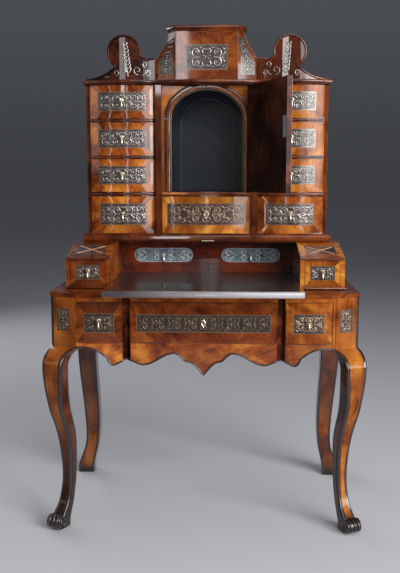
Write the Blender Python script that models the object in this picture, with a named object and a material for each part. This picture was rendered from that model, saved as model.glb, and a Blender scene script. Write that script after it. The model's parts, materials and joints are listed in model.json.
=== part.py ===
# Bureau cabinet: a stand on four cabriole legs, a writing section with a fall flap between two tills,
# and an upper cabinet of drawers round an arched niche, under a scrolled crest.
# Metres, +Z up, the front faces -Y, origin on the floor at the centre of the outline.
import math

import bmesh
import bpy
from mathutils import Vector

# Clearances
SEAT_GAP = 0.0003           # between pieces that rest on or against each other
RUN_GAP = 0.0012            # round a drawer in its opening

# Stand
DESK_HEIGHT = 0.766         # floor to the top of the desk
DESK_THICK = 0.012
DESK_OVERHANG = 0.002
STAND_HALF_WIDTH = 0.492    # to the outer corner of the front posts
STAND_DEPTH = 0.550         # back plane to the frieze front
FRIEZE_HEIGHT = 0.163       # corner post, from its knee to the desk top
POST_WIDTH = 0.087          # across the front, seen square on
POST_SETBACK = 0.041        # how far the post's front face is turned back at the outer corner
POST_DEPTH = 0.064          # along the outer side
POST_ARRIS = 0.004          # eased corners of the post
RAIL_THICK = 0.020
RAIL_INSET = 0.004          # side rails, back from the outer side of the posts
FRAME_THICK = 0.022         # front frame with the apron
TOP_RAIL_HEIGHT = 0.013
DRAWER_RAIL_HEIGHT = 0.021  # rail under the frieze drawers, measured up from the posts' lower end
APRON_DROP = 0.087          # middle point of the apron, below the posts' lower end
BLOCK_BOW = 0.007           # swell of the outer frieze drawers
CHANNEL_X = 0.244           # hollow channels beside the middle frieze drawer
CHANNEL_WIDTH = 0.024
CHANNEL_DEPTH = 0.010
FRIEZE_STILE = 0.002        # between a channel and the drawer opening beside it
POST_STILE = 0.0025         # between a post and the drawer opening beside it
DUST_BOARD_THICK = 0.010
FRIEZE_DRAWER_DEPTH = 0.360

# Front legs: heights above the floor or drops below the post, how far the front and the back of the leg
# stand ahead of the post's face, and widths
LEG_ARRIS = 0.004           # eased corners
KNEE_DROP = 0.056
KNEE_FRONT = 0.070
KNEE_BACK = 0.026
KNEE_WIDTH = 0.074
SHIN_DROP = 0.181
SHIN_FRONT = 0.057
SHIN_BACK = 0.008
SHIN_WIDTH = 0.056
CALF_DROP = 0.291
CALF_FRONT = 0.016
CALF_BACK = -0.027
CALF_WIDTH = 0.048
ANKLE_HEIGHT = 0.175
ANKLE_FRONT = 0.000
ANKLE_BACK = -0.034
ANKLE_WIDTH = 0.038
INSTEP_HEIGHT = 0.085
INSTEP_FRONT = 0.018
INSTEP_BACK = -0.016
INSTEP_WIDTH = 0.040
TOE_HEIGHT = 0.026
TOE_FRONT = 0.062
TOE_BACK = 0.012
FOOT_WIDTH = 0.048
SOLE_FRONT = 0.056
VOLUTE_FOOT_RADIUS = 0.0235  # scroll across the toe
VOLUTE_FOOT_REACH = 0.058
VOLUTE_FOOT_LIFT = 0.001     # clear of the floor
VOLUTE_FOOT_WIDTH = 0.051
VOLUTE_EYE_DEPTH = 0.003

# Rear legs: heights or drops, how far the outer face stands outside the post, and depths
REAR_LEG_WIDTH = 0.060
REAR_LEG_INSET = 0.002      # in from the back plane
REAR_POST_INSET = 0.014     # rear posts, in from the stand's outer corner
REAR_POST_WIDTH = 0.058
REAR_TOE_HEIGHT = 0.030
REAR_TOE_REACH = 0.017
REAR_TOE_DEPTH = 0.058
REAR_ANKLE_HEIGHT = 0.120
REAR_ANKLE_REACH = -0.012
REAR_ANKLE_DEPTH = 0.048
REAR_CALF_HEIGHT = 0.230
REAR_CALF_REACH = -0.010
REAR_CALF_DEPTH = 0.055
REAR_KNEE_DROP = 0.121
REAR_KNEE_REACH = 0.012
REAR_KNEE_DEPTH = 0.066

# Writing section
FLAP_LENGTH = 0.210
FLAP_THICK = 0.0197
FLAP_ROUND = 0.012          # rounded upper edge at the flap's front
FLAP_ARRIS = 0.004          # eased lower edge
HINGE_DEPTH = 0.430         # back plane to the flap's hinge line
FLAP_CLOSED_SLOPE = math.radians(39.0)
TILL_INNER_X = 0.310
TILL_MARGIN = 0.038         # desk top left bare outside each till
TILL_DEPTH = 0.438          # back plane to the till's front
TILL_FRONT_HEIGHT = 0.102
TILL_SLOPE_RUN = 0.1655     # depth of the sloping lid
TILL_WALL = 0.0145
TILL_FLOOR = 0.013
TILL_DRAWER_HEIGHT = 0.081
TILL_DRAWER_DEPTH = 0.235
TILL_DRAWER_PROUD = 0.002   # drawer front ahead of the till's face
FLAP_SIDE_GAP = 0.002       # between the flap and the tills' line
INTERIOR_HEIGHT = 0.119     # writing bed to the cabinet's base
INTERIOR_DEPTH = 0.140      # back plane to the interior drawers' fronts
INTERIOR_DIVIDER = 0.007

# Upper cabinet
BASE_THICK = 0.030
BASE_HALF_WIDTH = 0.426
BASE_DEPTH = 0.262          # back plane to the base moulding's front
BASE_MOULD = 0.007          # depth of its rounded profile
CABINET_HALF_WIDTH = 0.4135
CABINET_SIDE = 0.012
BACK_BOARD = 0.011
LOWER_TIER = 0.1275         # opening height of the lower row of drawers
LOWER_SHELF = 0.015
BANK_TIER = 0.112           # opening height of each bank drawer
BANK_SHELF = 0.012
BANK_TIERS = 3
SHELF_INSET = 0.003         # shelf edges, back from the drawer fronts
SHELF_BACK_GAP = 0.001
DIVIDER_X = 0.1645          # middle of the uprights beside the niche
DIVIDER_THICK = 0.020
BANK_CROWN_X = 0.300        # most forward line of each bank
BANK_CROWN_DEPTH = 0.255    # back plane to that line
BANK_OUTER_SETBACK = 0.032  # how far the front falls back at the outer corner
BANK_INNER_SETBACK = 0.025  # and at the upright
CENTRE_CROWN_DEPTH = 0.258  # back plane to the crown of the middle lower drawer
CENTRE_SETBACK = 0.022
CORNICE_THICK = 0.016
CORNICE_OVERHANG = 0.007

# Niche and door
ARCH_HALF_WIDTH = 0.128
ARCH_SPRING = 0.2455        # floor of the niche to the spring of the arch
ARCH_RISE = 0.105
ARCH_THICK = 0.018
DOOR_THICK = 0.017
DOOR_BOW = 0.010
DOOR_REST = 0.001           # shut door to the arched frame
DOOR_OPEN = math.radians(112.0)

# Crest
CREST_HALF_WIDTH = 0.104    # flat of the crest's front
CREST_FOOT_HALF_WIDTH = 0.1765
CREST_HEAD_HALF_WIDTH = 0.128
CREST_HEIGHT = 0.158
CREST_SHOULDER = 0.045      # upright part of the canted sides
CREST_CAP_THICK = 0.019
CREST_CAP_OVERHANG = 0.006
CREST_CANT = 0.040          # how far the canted sides fall back
CREST_BACK_DEPTH = 0.120    # back plane to the crest's back
SCROLL_THICK = 0.050
VOLUTE_X = 0.2795
VOLUTE_HEIGHT = 0.094       # cornice to the volute's centre
VOLUTE_RADIUS = 0.053
SCROLL_INSET = 0.003        # scroll's foot, in from the cabinet's side
SCROLL_TOE = 0.004          # thickness at the end of the foot
SADDLE_REACH = 0.030        # dip between the volute and the crest
SADDLE_DROP = 0.025
SADDLE_RISE = 0.005

# Drawers and pulls
FRONT_THICK = 0.020
TRAY_WALL = 0.008
TRAY_FLOOR = 0.006
TRAY_DROP = 0.010           # tray sides stand this much lower than the front
DRAWER_REST = 0.004         # drawer back to what is behind it
PULL_LENGTH = 0.027
PULL_RADIUS = 0.0046
PULL_NECK = 0.0012
PULL_SHOULDER = 0.0046      # pivot to the top of the drop
TONGUE_RADIUS = 0.0028
TONGUE_HALF = 0.0010        # half thickness of the tongue that hangs in the fork
FORK_REACH = 0.010          # drawer front to the pull's pivot
FORK_HALF_WIDTH = 0.0032
FORK_HALF_HEIGHT = 0.0032
CUT_MARGIN = 0.010          # how far a cutter stands out of what it cuts

# Levels and planes worked out from the sizes above
TOTAL_DEPTH = HINGE_DEPTH + FLAP_LENGTH
BACK_Y = TOTAL_DEPTH / 2
FRIEZE_Y = BACK_Y - STAND_DEPTH
HINGE_Y = BACK_Y - HINGE_DEPTH
TILL_Y = BACK_Y - TILL_DEPTH
BASE_Y = BACK_Y - BASE_DEPTH
INTERIOR_Y = BACK_Y - INTERIOR_DEPTH
BOARD_Y = BACK_Y - BACK_BOARD
DESK_UNDER = DESK_HEIGHT - DESK_THICK
POST_FOOT = DESK_UNDER - FRIEZE_HEIGHT
KNEE_HEIGHT = POST_FOOT - KNEE_DROP
SHIN_HEIGHT = POST_FOOT - SHIN_DROP
CALF_HEIGHT = POST_FOOT - CALF_DROP
REAR_KNEE_HEIGHT = POST_FOOT - REAR_KNEE_DROP
BED_TOP = DESK_HEIGHT + SEAT_GAP + FLAP_THICK
TILL_OUTER_X = STAND_HALF_WIDTH - TILL_MARGIN
BASE_BOTTOM = BED_TOP + INTERIOR_HEIGHT
BASE_TOP = BASE_BOTTOM + BASE_THICK
NICHE_FLOOR = BASE_TOP + LOWER_TIER + LOWER_SHELF
TIER_PITCH = BANK_TIER + BANK_SHELF
CABINET_TOP = NICHE_FLOOR + BANK_TIERS * TIER_PITCH - BANK_SHELF
CORNICE_TOP = CABINET_TOP + CORNICE_THICK
POST_INNER_X = STAND_HALF_WIDTH - POST_WIDTH
POST_ANGLE = math.atan2(POST_SETBACK, POST_WIDTH)
DIVIDER_INNER_X = DIVIDER_X - DIVIDER_THICK / 2
DIVIDER_OUTER_X = DIVIDER_X + DIVIDER_THICK / 2
BANK_OUTER_X = CABINET_HALF_WIDTH - CABINET_SIDE
NICHE_FRONT_Y = BACK_Y - BANK_CROWN_DEPTH + BANK_INNER_SETBACK
SIDES = {"left": -1, "right": 1}


def clear_scene():
    for old in list(bpy.data.objects):
        bpy.data.objects.remove(old, do_unlink=True)


def finish(name, colour, roughness, metallic=0.0):
    material = bpy.data.materials.new(name)
    material.use_nodes = True
    shader = material.node_tree.nodes["Principled BSDF"]
    shader.inputs["Base Color"].default_value = (*colour, 1.0)
    shader.inputs["Roughness"].default_value = roughness
    shader.inputs["Metallic"].default_value = metallic
    return material


def make(name, shape, material, origin=(0.0, 0.0, 0.0), parent=None, smooth=None):
    """One named object from vertices and faces that are given in the part's frame."""
    points, faces = shape
    corner = Vector(origin)
    work = bmesh.new()
    vertices = [work.verts.new(Vector(point) - corner) for point in points]
    for face in faces:
        work.faces.new([vertices[index] for index in face])
    bmesh.ops.recalc_face_normals(work, faces=work.faces)
    mesh = bpy.data.meshes.new(name)
    work.to_mesh(mesh)
    work.free()
    mesh.materials.append(material)
    if smooth is not None:
        mesh.shade_smooth()
        mesh.set_sharp_from_angle(angle=smooth)
    piece = bpy.data.objects.new(name, mesh)
    bpy.context.scene.collection.objects.link(piece)
    piece.location = corner
    if parent is not None:
        piece.parent = parent
        piece.location = corner - parent.matrix_world.translation
    bpy.context.view_layer.update()
    return piece


def helper(name, shape, material):
    """A solid that only cuts or adds to another one."""
    piece = make(name, shape, material)
    piece.hide_render = True
    piece.display_type = "WIRE"
    return piece


def combine(piece, tool, operation):
    modifier = piece.modifiers.new(operation.lower(), "BOOLEAN")
    modifier.operation = operation
    modifier.solver = "EXACT"
    modifier.object = tool


def merge_shapes(*shapes):
    points = []
    faces = []
    for shape_points, shape_faces in shapes:
        first = len(points)
        points.extend(shape_points)
        faces.extend([tuple(index + first for index in face) for face in shape_faces])
    return points, faces


def loft(rings):
    """A closed skin over rings that have the same number of points."""
    count = len(rings[0])
    points = [point for ring in rings for point in ring]
    faces = [tuple(range(count)), tuple(range(len(points) - count, len(points)))]
    for low in range(0, len(points) - count, count):
        for step in range(count):
            after = (step + 1) % count
            faces.append((low + step, low + after, low + count + after, low + count + step))
    return points, faces


def prism(outline, low, high, axis="z"):
    """An outline pushed along an axis: (x, y) along z, (x, z) along y or (y, z) along x."""
    place = {
        "z": lambda u, v, w: (u, v, w),
        "y": lambda u, v, w: (u, w, v),
        "x": lambda u, v, w: (w, u, v),
    }[axis]
    return loft([[place(u, v, w) for u, v in outline] for w in (low, high)])


def box(low, high):
    corners = [(low[0], low[1]), (high[0], low[1]), (high[0], high[1]), (low[0], high[1])]
    return prism(corners, low[2], high[2])


def mirrored(shape, side):
    points, faces = shape
    return [(side * x, y, z) for x, y, z in points], faces


def spread(low, high, steps):
    return [low + (high - low) * step / steps for step in range(steps + 1)]


def ease(start, end, share):
    return start + (end - start) * (1 - math.cos(math.pi * share)) / 2


def bowed_board(outline, front, back, cuts):
    """A board with an outline in (x, z), a flat back, and a front that follows front(x)."""
    points, faces = prism(outline, 0.0, 1.0, "y")
    work = bmesh.new()
    vertices = [work.verts.new(point) for point in points]
    for face in faces:
        work.faces.new([vertices[index] for index in face])
    for cut in cuts:
        everything = work.verts[:] + work.edges[:] + work.faces[:]
        bmesh.ops.bisect_plane(work, geom=everything, plane_co=(cut, 0, 0), plane_no=(1, 0, 0), dist=1e-6)
    bmesh.ops.triangulate(work, faces=work.faces[:])
    work.verts.index_update()
    board = [(v.co.x, front(v.co.x) if v.co.y < 0.5 else back, v.co.z) for v in work.verts]
    board_faces = [tuple(v.index for v in face.verts) for face in work.faces]
    work.free()
    return board, board_faces


def bank_front(x):
    """Plan of the drawer banks and of the scrolls above them."""
    away = abs(x) - BANK_CROWN_X
    if away > 0:
        fall = BANK_OUTER_SETBACK * (away / (CABINET_HALF_WIDTH - BANK_CROWN_X)) ** 2
    else:
        fall = BANK_INNER_SETBACK * (away / (BANK_CROWN_X - DIVIDER_OUTER_X)) ** 2
    return BACK_Y - BANK_CROWN_DEPTH + fall


def centre_front(x):
    """Plan of the bowed middle drawer under the niche."""
    return BACK_Y - CENTRE_CROWN_DEPTH + CENTRE_SETBACK * (x / DIVIDER_INNER_X) ** 2


def frieze_front(x):
    """Plan of the frieze: a flat middle, hollow channels, and a swell on each side."""
    away = abs(x)
    in_channel = abs(away - CHANNEL_X) / (CHANNEL_WIDTH / 2)
    if in_channel < 1:
        return FRIEZE_Y + CHANNEL_DEPTH * (1 - in_channel ** 2)
    block_start = CHANNEL_X + CHANNEL_WIDTH / 2
    if away <= block_start:
        return FRIEZE_Y
    half = (POST_INNER_X - block_start) / 2
    return FRIEZE_Y - BLOCK_BOW * max(0.0, 1 - ((away - block_start - half) / half) ** 2)


def apron_edge():
    """Lower edge of the apron, from the middle drop to the post, as (x, height above the post's foot)."""
    shapes = {
        "line": lambda share: share,
        "sway": lambda share: (1 - math.cos(math.pi * share)) / 2,
        "swell": lambda share: 1 - math.cos(math.pi / 2 * share),
        "hollow": lambda share: math.sin(math.pi / 2 * share),
    }
    turns = [(0.128, 0.494, "hollow"), (0.148, 0.460, "line"), (0.232, 0.184, "hollow"),
             (0.472, 0.620, "sway"), (CHANNEL_X / POST_INNER_X, 0.437, "sway"), (0.711, 0.626, "sway"),
             (0.746, 0.483, "swell"), (0.756, 0.345, "line"), (0.909, 0.0, "hollow"), (1.0, 0.0, "line")]
    end = POST_INNER_X - SEAT_GAP
    edge = [(0.0, -APRON_DROP)]
    for reach, drop, shape in turns:
        x0, z0 = edge[-1]
        x1 = end * reach
        z1 = -APRON_DROP * drop
        steps = 1 if shape == "line" else 5
        for step in range(1, steps + 1):
            share = step / steps
            edge.append((x0 + (x1 - x0) * share, z0 + (z1 - z0) * shapes[shape](share)))
    return edge


def leg_section(centre, turn, front, back, width, height):
    """Eight points round a leg: a flat face with eased corners, in the leg's own direction."""
    half = width / 2
    corner = LEG_ARRIS
    plan = [(-half + corner, front), (half - corner, front), (half, front - corner), (half, back + corner),
            (half - corner, back), (-half + corner, back), (-half, back + corner), (-half, front - corner)]
    ahead = Vector((math.sin(turn), -math.cos(turn)))
    aside = Vector((math.cos(turn), math.sin(turn)))
    ring = []
    for across, along in plan:
        spot = Vector(centre) + aside * across + ahead * along
        ring.append((spot.x, spot.y, height))
    return ring


def smooth_track(stations, height):
    """Value at a height on a smooth line through (height, value) stations, upright at both ends."""
    slopes = [0.0]
    for (z0, v0), (z2, v2) in zip(stations, stations[2:]):
        slopes.append((v2 - v0) / (z2 - z0))
    slopes.append(0.0)
    for index, ((z0, v0), (z1, v1)) in enumerate(zip(stations, stations[1:])):
        if height <= z1:
            span = z1 - z0
            t = (height - z0) / span
            start = v0 * (1 + 2 * t) * (1 - t) ** 2 + v1 * t * t * (3 - 2 * t)
            return start + span * t * (1 - t) * (slopes[index] * (1 - t) - slopes[index + 1] * t)
    return stations[-1][1]


def front_leg(side, material):
    """Corner post and cabriole leg in one piece, turned out to the corner, on a scroll foot."""
    face = (POST_INNER_X + POST_WIDTH / 2, FRIEZE_Y + POST_SETBACK / 2)
    face_width = math.hypot(POST_WIDTH, POST_SETBACK)
    rows = [(0.0, SOLE_FRONT, TOE_BACK, FOOT_WIDTH), (TOE_HEIGHT, TOE_FRONT, TOE_BACK, FOOT_WIDTH),
            (INSTEP_HEIGHT, INSTEP_FRONT, INSTEP_BACK, INSTEP_WIDTH),
            (ANKLE_HEIGHT, ANKLE_FRONT, ANKLE_BACK, ANKLE_WIDTH),
            (CALF_HEIGHT, CALF_FRONT, CALF_BACK, CALF_WIDTH),
            (SHIN_HEIGHT, SHIN_FRONT, SHIN_BACK, SHIN_WIDTH),
            (KNEE_HEIGHT, KNEE_FRONT, KNEE_BACK, KNEE_WIDTH)]
    front = [(row[0], row[1]) for row in rows]
    back = [(row[0], row[2]) for row in rows]
    width = [(row[0], row[3]) for row in rows]
    heights = spread(0.0, INSTEP_HEIGHT, 7) + spread(INSTEP_HEIGHT, ANKLE_HEIGHT, 4)[1:]
    heights += spread(ANKLE_HEIGHT, KNEE_HEIGHT, 14)[1:]
    rings = []
    for z in heights:
        rings.append(leg_section(face, POST_ANGLE, smooth_track(front, z), smooth_track(back, z),
                                 smooth_track(width, z), z))
    for step in range(1, 6):
        # from the knee the front, the back and the width round off into the post
        turn = math.pi / 2 * step / 6
        rise = KNEE_HEIGHT + (POST_FOOT - KNEE_HEIGHT) * math.sin(turn)
        rings.append(leg_section(face, POST_ANGLE, KNEE_FRONT * math.cos(turn),
                                 -POST_DEPTH + (KNEE_BACK + POST_DEPTH) * math.cos(turn),
                                 face_width + (KNEE_WIDTH - face_width) * math.cos(turn), rise))
    outer = STAND_HALF_WIDTH
    inner = POST_INNER_X
    front_in = FRIEZE_Y
    front_out = FRIEZE_Y + POST_SETBACK
    rear = front_out + POST_DEPTH
    slope = POST_SETBACK / POST_WIDTH
    cut = POST_ARRIS
    post = [(inner + cut, front_in + cut * slope), (outer - cut, front_out - cut * slope),
            (outer, front_out + cut), (outer, rear - cut), (outer - cut, rear), (inner + cut, rear),
            (inner, rear - cut), (inner, front_in + cut)]
    for z in (POST_FOOT, DESK_UNDER - SEAT_GAP):
        rings.append([(x, y, z) for x, y in post])
    name = "left" if side < 0 else "right"
    leg = make("leg_front_" + name, mirrored(loft(rings), side), material, smooth=math.radians(40))
    combine(leg, helper("foot_volute_" + name, mirrored(foot_volute(face), side), material), "UNION")


def foot_volute(face):
    """Scroll across the toe: a drum with a sunk ring and a standing eye at each end."""
    ahead = Vector((math.sin(POST_ANGLE), -math.cos(POST_ANGLE), 0.0))
    aside = Vector((math.cos(POST_ANGLE), math.sin(POST_ANGLE), 0.0))
    up = Vector((0.0, 0.0, 1.0))
    radius = VOLUTE_FOOT_RADIUS
    heart = Vector((*face, VOLUTE_FOOT_LIFT + radius)) + ahead * VOLUTE_FOOT_REACH
    end = VOLUTE_FOOT_WIDTH / 2
    half = [(end, 0.30 * radius), (end, 0.42 * radius), (end - VOLUTE_EYE_DEPTH, 0.50 * radius),
            (end - VOLUTE_EYE_DEPTH, 0.70 * radius), (end, 0.82 * radius), (end, 0.94 * radius),
            (end - VOLUTE_EYE_DEPTH / 2, radius)]
    profile = [(-across, reach) for across, reach in half] + list(reversed(half))
    sides = 20
    turns = [2 * math.pi * step / sides for step in range(sides)]
    rings = []
    for across, reach in profile:
        middle = heart + aside * across
        ring = [middle + reach * (ahead * math.cos(turn) + up * math.sin(turn)) for turn in turns]
        rings.append([tuple(point) for point in ring])
    return loft(rings)


def rear_leg(side, material):
    """Plainer rear leg that sweeps out sideways, with its post behind the side rail."""
    outer = STAND_HALF_WIDTH - REAR_POST_INSET
    centre = (outer, BACK_Y - REAR_LEG_INSET - REAR_LEG_WIDTH / 2)
    rows = [(0.0, REAR_TOE_REACH, REAR_TOE_DEPTH), (REAR_TOE_HEIGHT, REAR_TOE_REACH, REAR_TOE_DEPTH),
            (REAR_ANKLE_HEIGHT, REAR_ANKLE_REACH, REAR_ANKLE_DEPTH),
            (REAR_CALF_HEIGHT, REAR_CALF_REACH, REAR_CALF_DEPTH),
            (REAR_KNEE_HEIGHT, REAR_KNEE_REACH, REAR_KNEE_DEPTH), (POST_FOOT, 0.0, REAR_POST_WIDTH)]
    reach = [(row[0], row[1]) for row in rows]
    depth = [(row[0], row[2]) for row in rows]
    heights = [0.0] + spread(REAR_TOE_HEIGHT, REAR_ANKLE_HEIGHT, 4)
    heights += spread(REAR_ANKLE_HEIGHT, REAR_CALF_HEIGHT, 3)[1:]
    heights += spread(REAR_CALF_HEIGHT, REAR_KNEE_HEIGHT, 6)[1:] + spread(REAR_KNEE_HEIGHT, POST_FOOT, 3)[1:]
    heights.append(DESK_UNDER - SEAT_GAP)
    rings = []
    for z in heights:
        ahead = smooth_track(reach, z)
        behind = ahead - smooth_track(depth, z)
        rings.append(leg_section(centre, math.pi / 2, ahead, behind, REAR_LEG_WIDTH, z))
    name = "leg_rear_left" if side < 0 else "leg_rear_right"
    make(name, mirrored(loft(rings), side), material, smooth=math.radians(40))


def front_frame(material):
    """Face frame with the shaped apron, the two hollow channels and three drawer openings."""
    half = [(x, POST_FOOT + drop) for x, drop in apron_edge()]
    lower = [(-x, z) for x, z in reversed(half[1:])] + half
    top = DESK_UNDER - SEAT_GAP
    end = POST_INNER_X - SEAT_GAP
    outline = lower + [(end, top), (-end, top)]
    start = CHANNEL_X - CHANNEL_WIDTH / 2
    stop = CHANNEL_X + CHANNEL_WIDTH / 2
    cuts = spread(start, stop, 4) + spread(stop, end, 6)[1:-1]
    board = bowed_board(outline, frieze_front, FRIEZE_Y + FRAME_THICK, [-cut for cut in cuts] + cuts)
    frame = make("front_frame", board, material)
    low = POST_FOOT + DRAWER_RAIL_HEIGHT
    high = DESK_UNDER - TOP_RAIL_HEIGHT
    near = FRIEZE_Y - BLOCK_BOW - CUT_MARGIN
    far = FRIEZE_Y + FRAME_THICK + CUT_MARGIN
    windows = [box((x0, near, low), (x1, far, high)) for x0, x1 in frieze_openings()]
    combine(frame, helper("frieze_window_cutter", merge_shapes(*windows), material), "DIFFERENCE")


def frieze_openings():
    edge = CHANNEL_X - CHANNEL_WIDTH / 2 - FRIEZE_STILE
    block = CHANNEL_X + CHANNEL_WIDTH / 2 + FRIEZE_STILE
    end = POST_INNER_X - POST_STILE
    return [(-end, -block), (-edge, edge), (block, end)]


def stand_rails(material):
    """Rails and dust board behind the legs."""
    rear_face = BACK_Y - REAR_LEG_INSET - REAR_LEG_WIDTH
    front_face = FRIEZE_Y + POST_SETBACK + POST_DEPTH
    low = POST_FOOT
    high = DESK_UNDER - SEAT_GAP
    outer = STAND_HALF_WIDTH - REAR_POST_INSET - RAIL_INSET
    for name, side in SIDES.items():
        rail = box((outer - RAIL_THICK, front_face + SEAT_GAP, low), (outer, rear_face - SEAT_GAP, high))
        make("side_rail_" + name, mirrored(rail, side), material)
    post_inner = STAND_HALF_WIDTH - REAR_POST_INSET - REAR_POST_WIDTH - SEAT_GAP
    rail_front = BACK_Y - REAR_LEG_INSET - RAIL_THICK - REAR_LEG_WIDTH / 2
    rail = box((-post_inner, rail_front, low), (post_inner, rail_front + RAIL_THICK, high))
    make("back_rail", rail, material)
    board_top = POST_FOOT + DRAWER_RAIL_HEIGHT
    near = FRIEZE_Y + FRAME_THICK + SEAT_GAP
    inner = POST_INNER_X - SEAT_GAP
    wide = outer - RAIL_THICK - SEAT_GAP
    post_rear = front_face + SEAT_GAP
    leg_front = rear_face - SEAT_GAP
    far = rail_front - SEAT_GAP
    half = [(inner, near), (inner, post_rear), (wide, post_rear), (wide, leg_front), (post_inner, leg_front),
            (post_inner, far)]
    plan = half + [(-x, y) for x, y in reversed(half)]
    make("dust_board", prism(plan, board_top - DUST_BOARD_THICK, board_top), material)


def desk_top(material):
    """Top of the stand, cut to the plan of the frieze and the turned posts."""
    side = STAND_HALF_WIDTH + DESK_OVERHANG
    shoulder = FRIEZE_Y + POST_SETBACK - DESK_OVERHANG
    block = CHANNEL_X + CHANNEL_WIDTH / 2
    half = [(x, frieze_front(x) - DESK_OVERHANG) for x in spread(block, POST_INNER_X, 6)]
    half += [(side, shoulder), (side, BACK_Y)]
    plan = [(-x, y) for x, y in reversed(half)] + half
    make("desk_top", prism(plan, DESK_UNDER, DESK_HEIGHT), material)


def drawer_shape(x0, x1, z0, z1, front, back, steps):
    """An open-topped tray behind a front that follows front(x)."""
    xs = spread(x0, x1, steps)
    inside = max(front(x) for x in xs) + FRONT_THICK
    low_rim = z1 - TRAY_DROP
    floor = z0 + TRAY_FLOOR
    rear = back - TRAY_WALL
    left = x0 + TRAY_WALL
    right = x1 - TRAY_WALL
    points = []

    def add(x, y, z):
        points.append((x, y, z))
        return len(points) - 1

    foot = [add(x, front(x), z0) for x in xs]
    head = [add(x, front(x), z1) for x in xs]
    base = [add(x1, back, z0), add(x0, back, z0)]
    rim = [add(x0, inside, low_rim), add(x1, inside, low_rim), add(x1, back, low_rim), add(x0, back, low_rim)]
    lip = [add(x0, inside, z1), add(x1, inside, z1)]
    well = [add(x, y, z) for z in (low_rim, floor)
            for x, y in ((left, inside), (right, inside), (right, rear), (left, rear))]
    faces = [(foot[k], foot[k + 1], head[k + 1], head[k]) for k in range(steps)]
    faces += [tuple(foot) + tuple(base), tuple(head) + (lip[1], lip[0])]
    faces.append((foot[0], head[0], lip[0], rim[0], rim[3], base[1]))
    faces.append((foot[-1], head[-1], lip[1], rim[1], rim[2], base[0]))
    faces.append((base[0], base[1], rim[3], rim[2]))
    faces.append((lip[0], lip[1], rim[1], well[1], well[5], well[4], well[0], rim[0]))
    faces += [(rim[0], well[0], well[3], rim[3]), (rim[3], well[3], well[2], rim[2]),
              (rim[2], well[2], well[1], rim[1])]
    faces += [(well[1], well[5], well[6], well[2]), (well[2], well[6], well[7], well[3]),
              (well[3], well[7], well[4], well[0]), tuple(well[4:])]
    return points, faces


def fork_shape(x, y, z):
    """Forked stem of a pull, rooted in the drawer front, with the pivot at x, y, z."""
    slot = TONGUE_HALF + SEAT_GAP
    tip = y - TONGUE_RADIUS
    throat = y + TONGUE_RADIUS + SEAT_GAP
    root = y + FORK_REACH + FRONT_THICK / 2
    plan = [(-FORK_HALF_WIDTH, root), (-FORK_HALF_WIDTH, tip), (-slot, tip), (-slot, throat), (slot, throat),
            (slot, tip), (FORK_HALF_WIDTH, tip), (FORK_HALF_WIDTH, root)]
    return prism([(x + u, v) for u, v in plan], z - FORK_HALF_HEIGHT, z + FORK_HALF_HEIGHT)


def pull_shape(x, y, z):
    """Drop pull: a thin tongue that turns in the fork, a neck and a pear-shaped drop."""
    levels = [(0.95, TONGUE_HALF, 0.25), (0.7, TONGUE_HALF, 0.72), (0.0, TONGUE_HALF, 1.0),
              (-0.85, TONGUE_HALF, 0.6)]
    rings = [(TONGUE_RADIUS * lift, half, TONGUE_RADIUS * reach) for lift, half, reach in levels]
    rings.append((-PULL_SHOULDER, PULL_NECK, PULL_NECK))
    for share, swell in ((0.22, 0.5), (0.5, 0.86), (0.72, 1.0), (0.9, 0.72), (1.0, 0.2)):
        radius = PULL_RADIUS * swell
        rings.append((-PULL_SHOULDER - (PULL_LENGTH - PULL_SHOULDER) * share, radius, radius))
    sides = 8
    angles = [2 * math.pi * (step + 0.5) / sides for step in range(sides)]
    square = 1 / math.cos(math.pi / sides)
    return loft([[(x + half * square * math.cos(turn), y + reach * square * math.sin(turn), z + lift)
                  for turn in angles] for lift, half, reach in rings])


def drawer(name, span, levels, front, back, finishes, pull=True, steps=8):
    x0, x1 = span
    z0, z1 = levels
    middle = (x0 + x1) / 2
    pivot = (middle, front(middle) - FORK_REACH, (z0 + z1) / 2 + PULL_LENGTH / 4)
    shape = drawer_shape(x0, x1, z0, z1, front, back, steps)
    tray = make(name, shape, finishes["walnut"], origin=(middle, front(middle), (z0 + z1) / 2))
    if pull:
        combine(tray, helper(name + "_fork", fork_shape(*pivot), finishes["brass"]), "UNION")
        make("pull_" + name.removeprefix("drawer_"), pull_shape(*pivot), finishes["brass"], origin=pivot,
             parent=tray, smooth=math.radians(50))


def frieze_drawers(finishes):
    low = POST_FOOT + DRAWER_RAIL_HEIGHT + SEAT_GAP
    high = DESK_UNDER - TOP_RAIL_HEIGHT - RUN_GAP
    back = FRIEZE_Y + FRIEZE_DRAWER_DEPTH
    for name, (x0, x1) in zip(("left", "middle", "right"), frieze_openings()):
        drawer("drawer_frieze_" + name, (x0 + RUN_GAP, x1 - RUN_GAP), (low, high), frieze_front, back,
               finishes, pull=name != "middle", steps=6)


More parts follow.
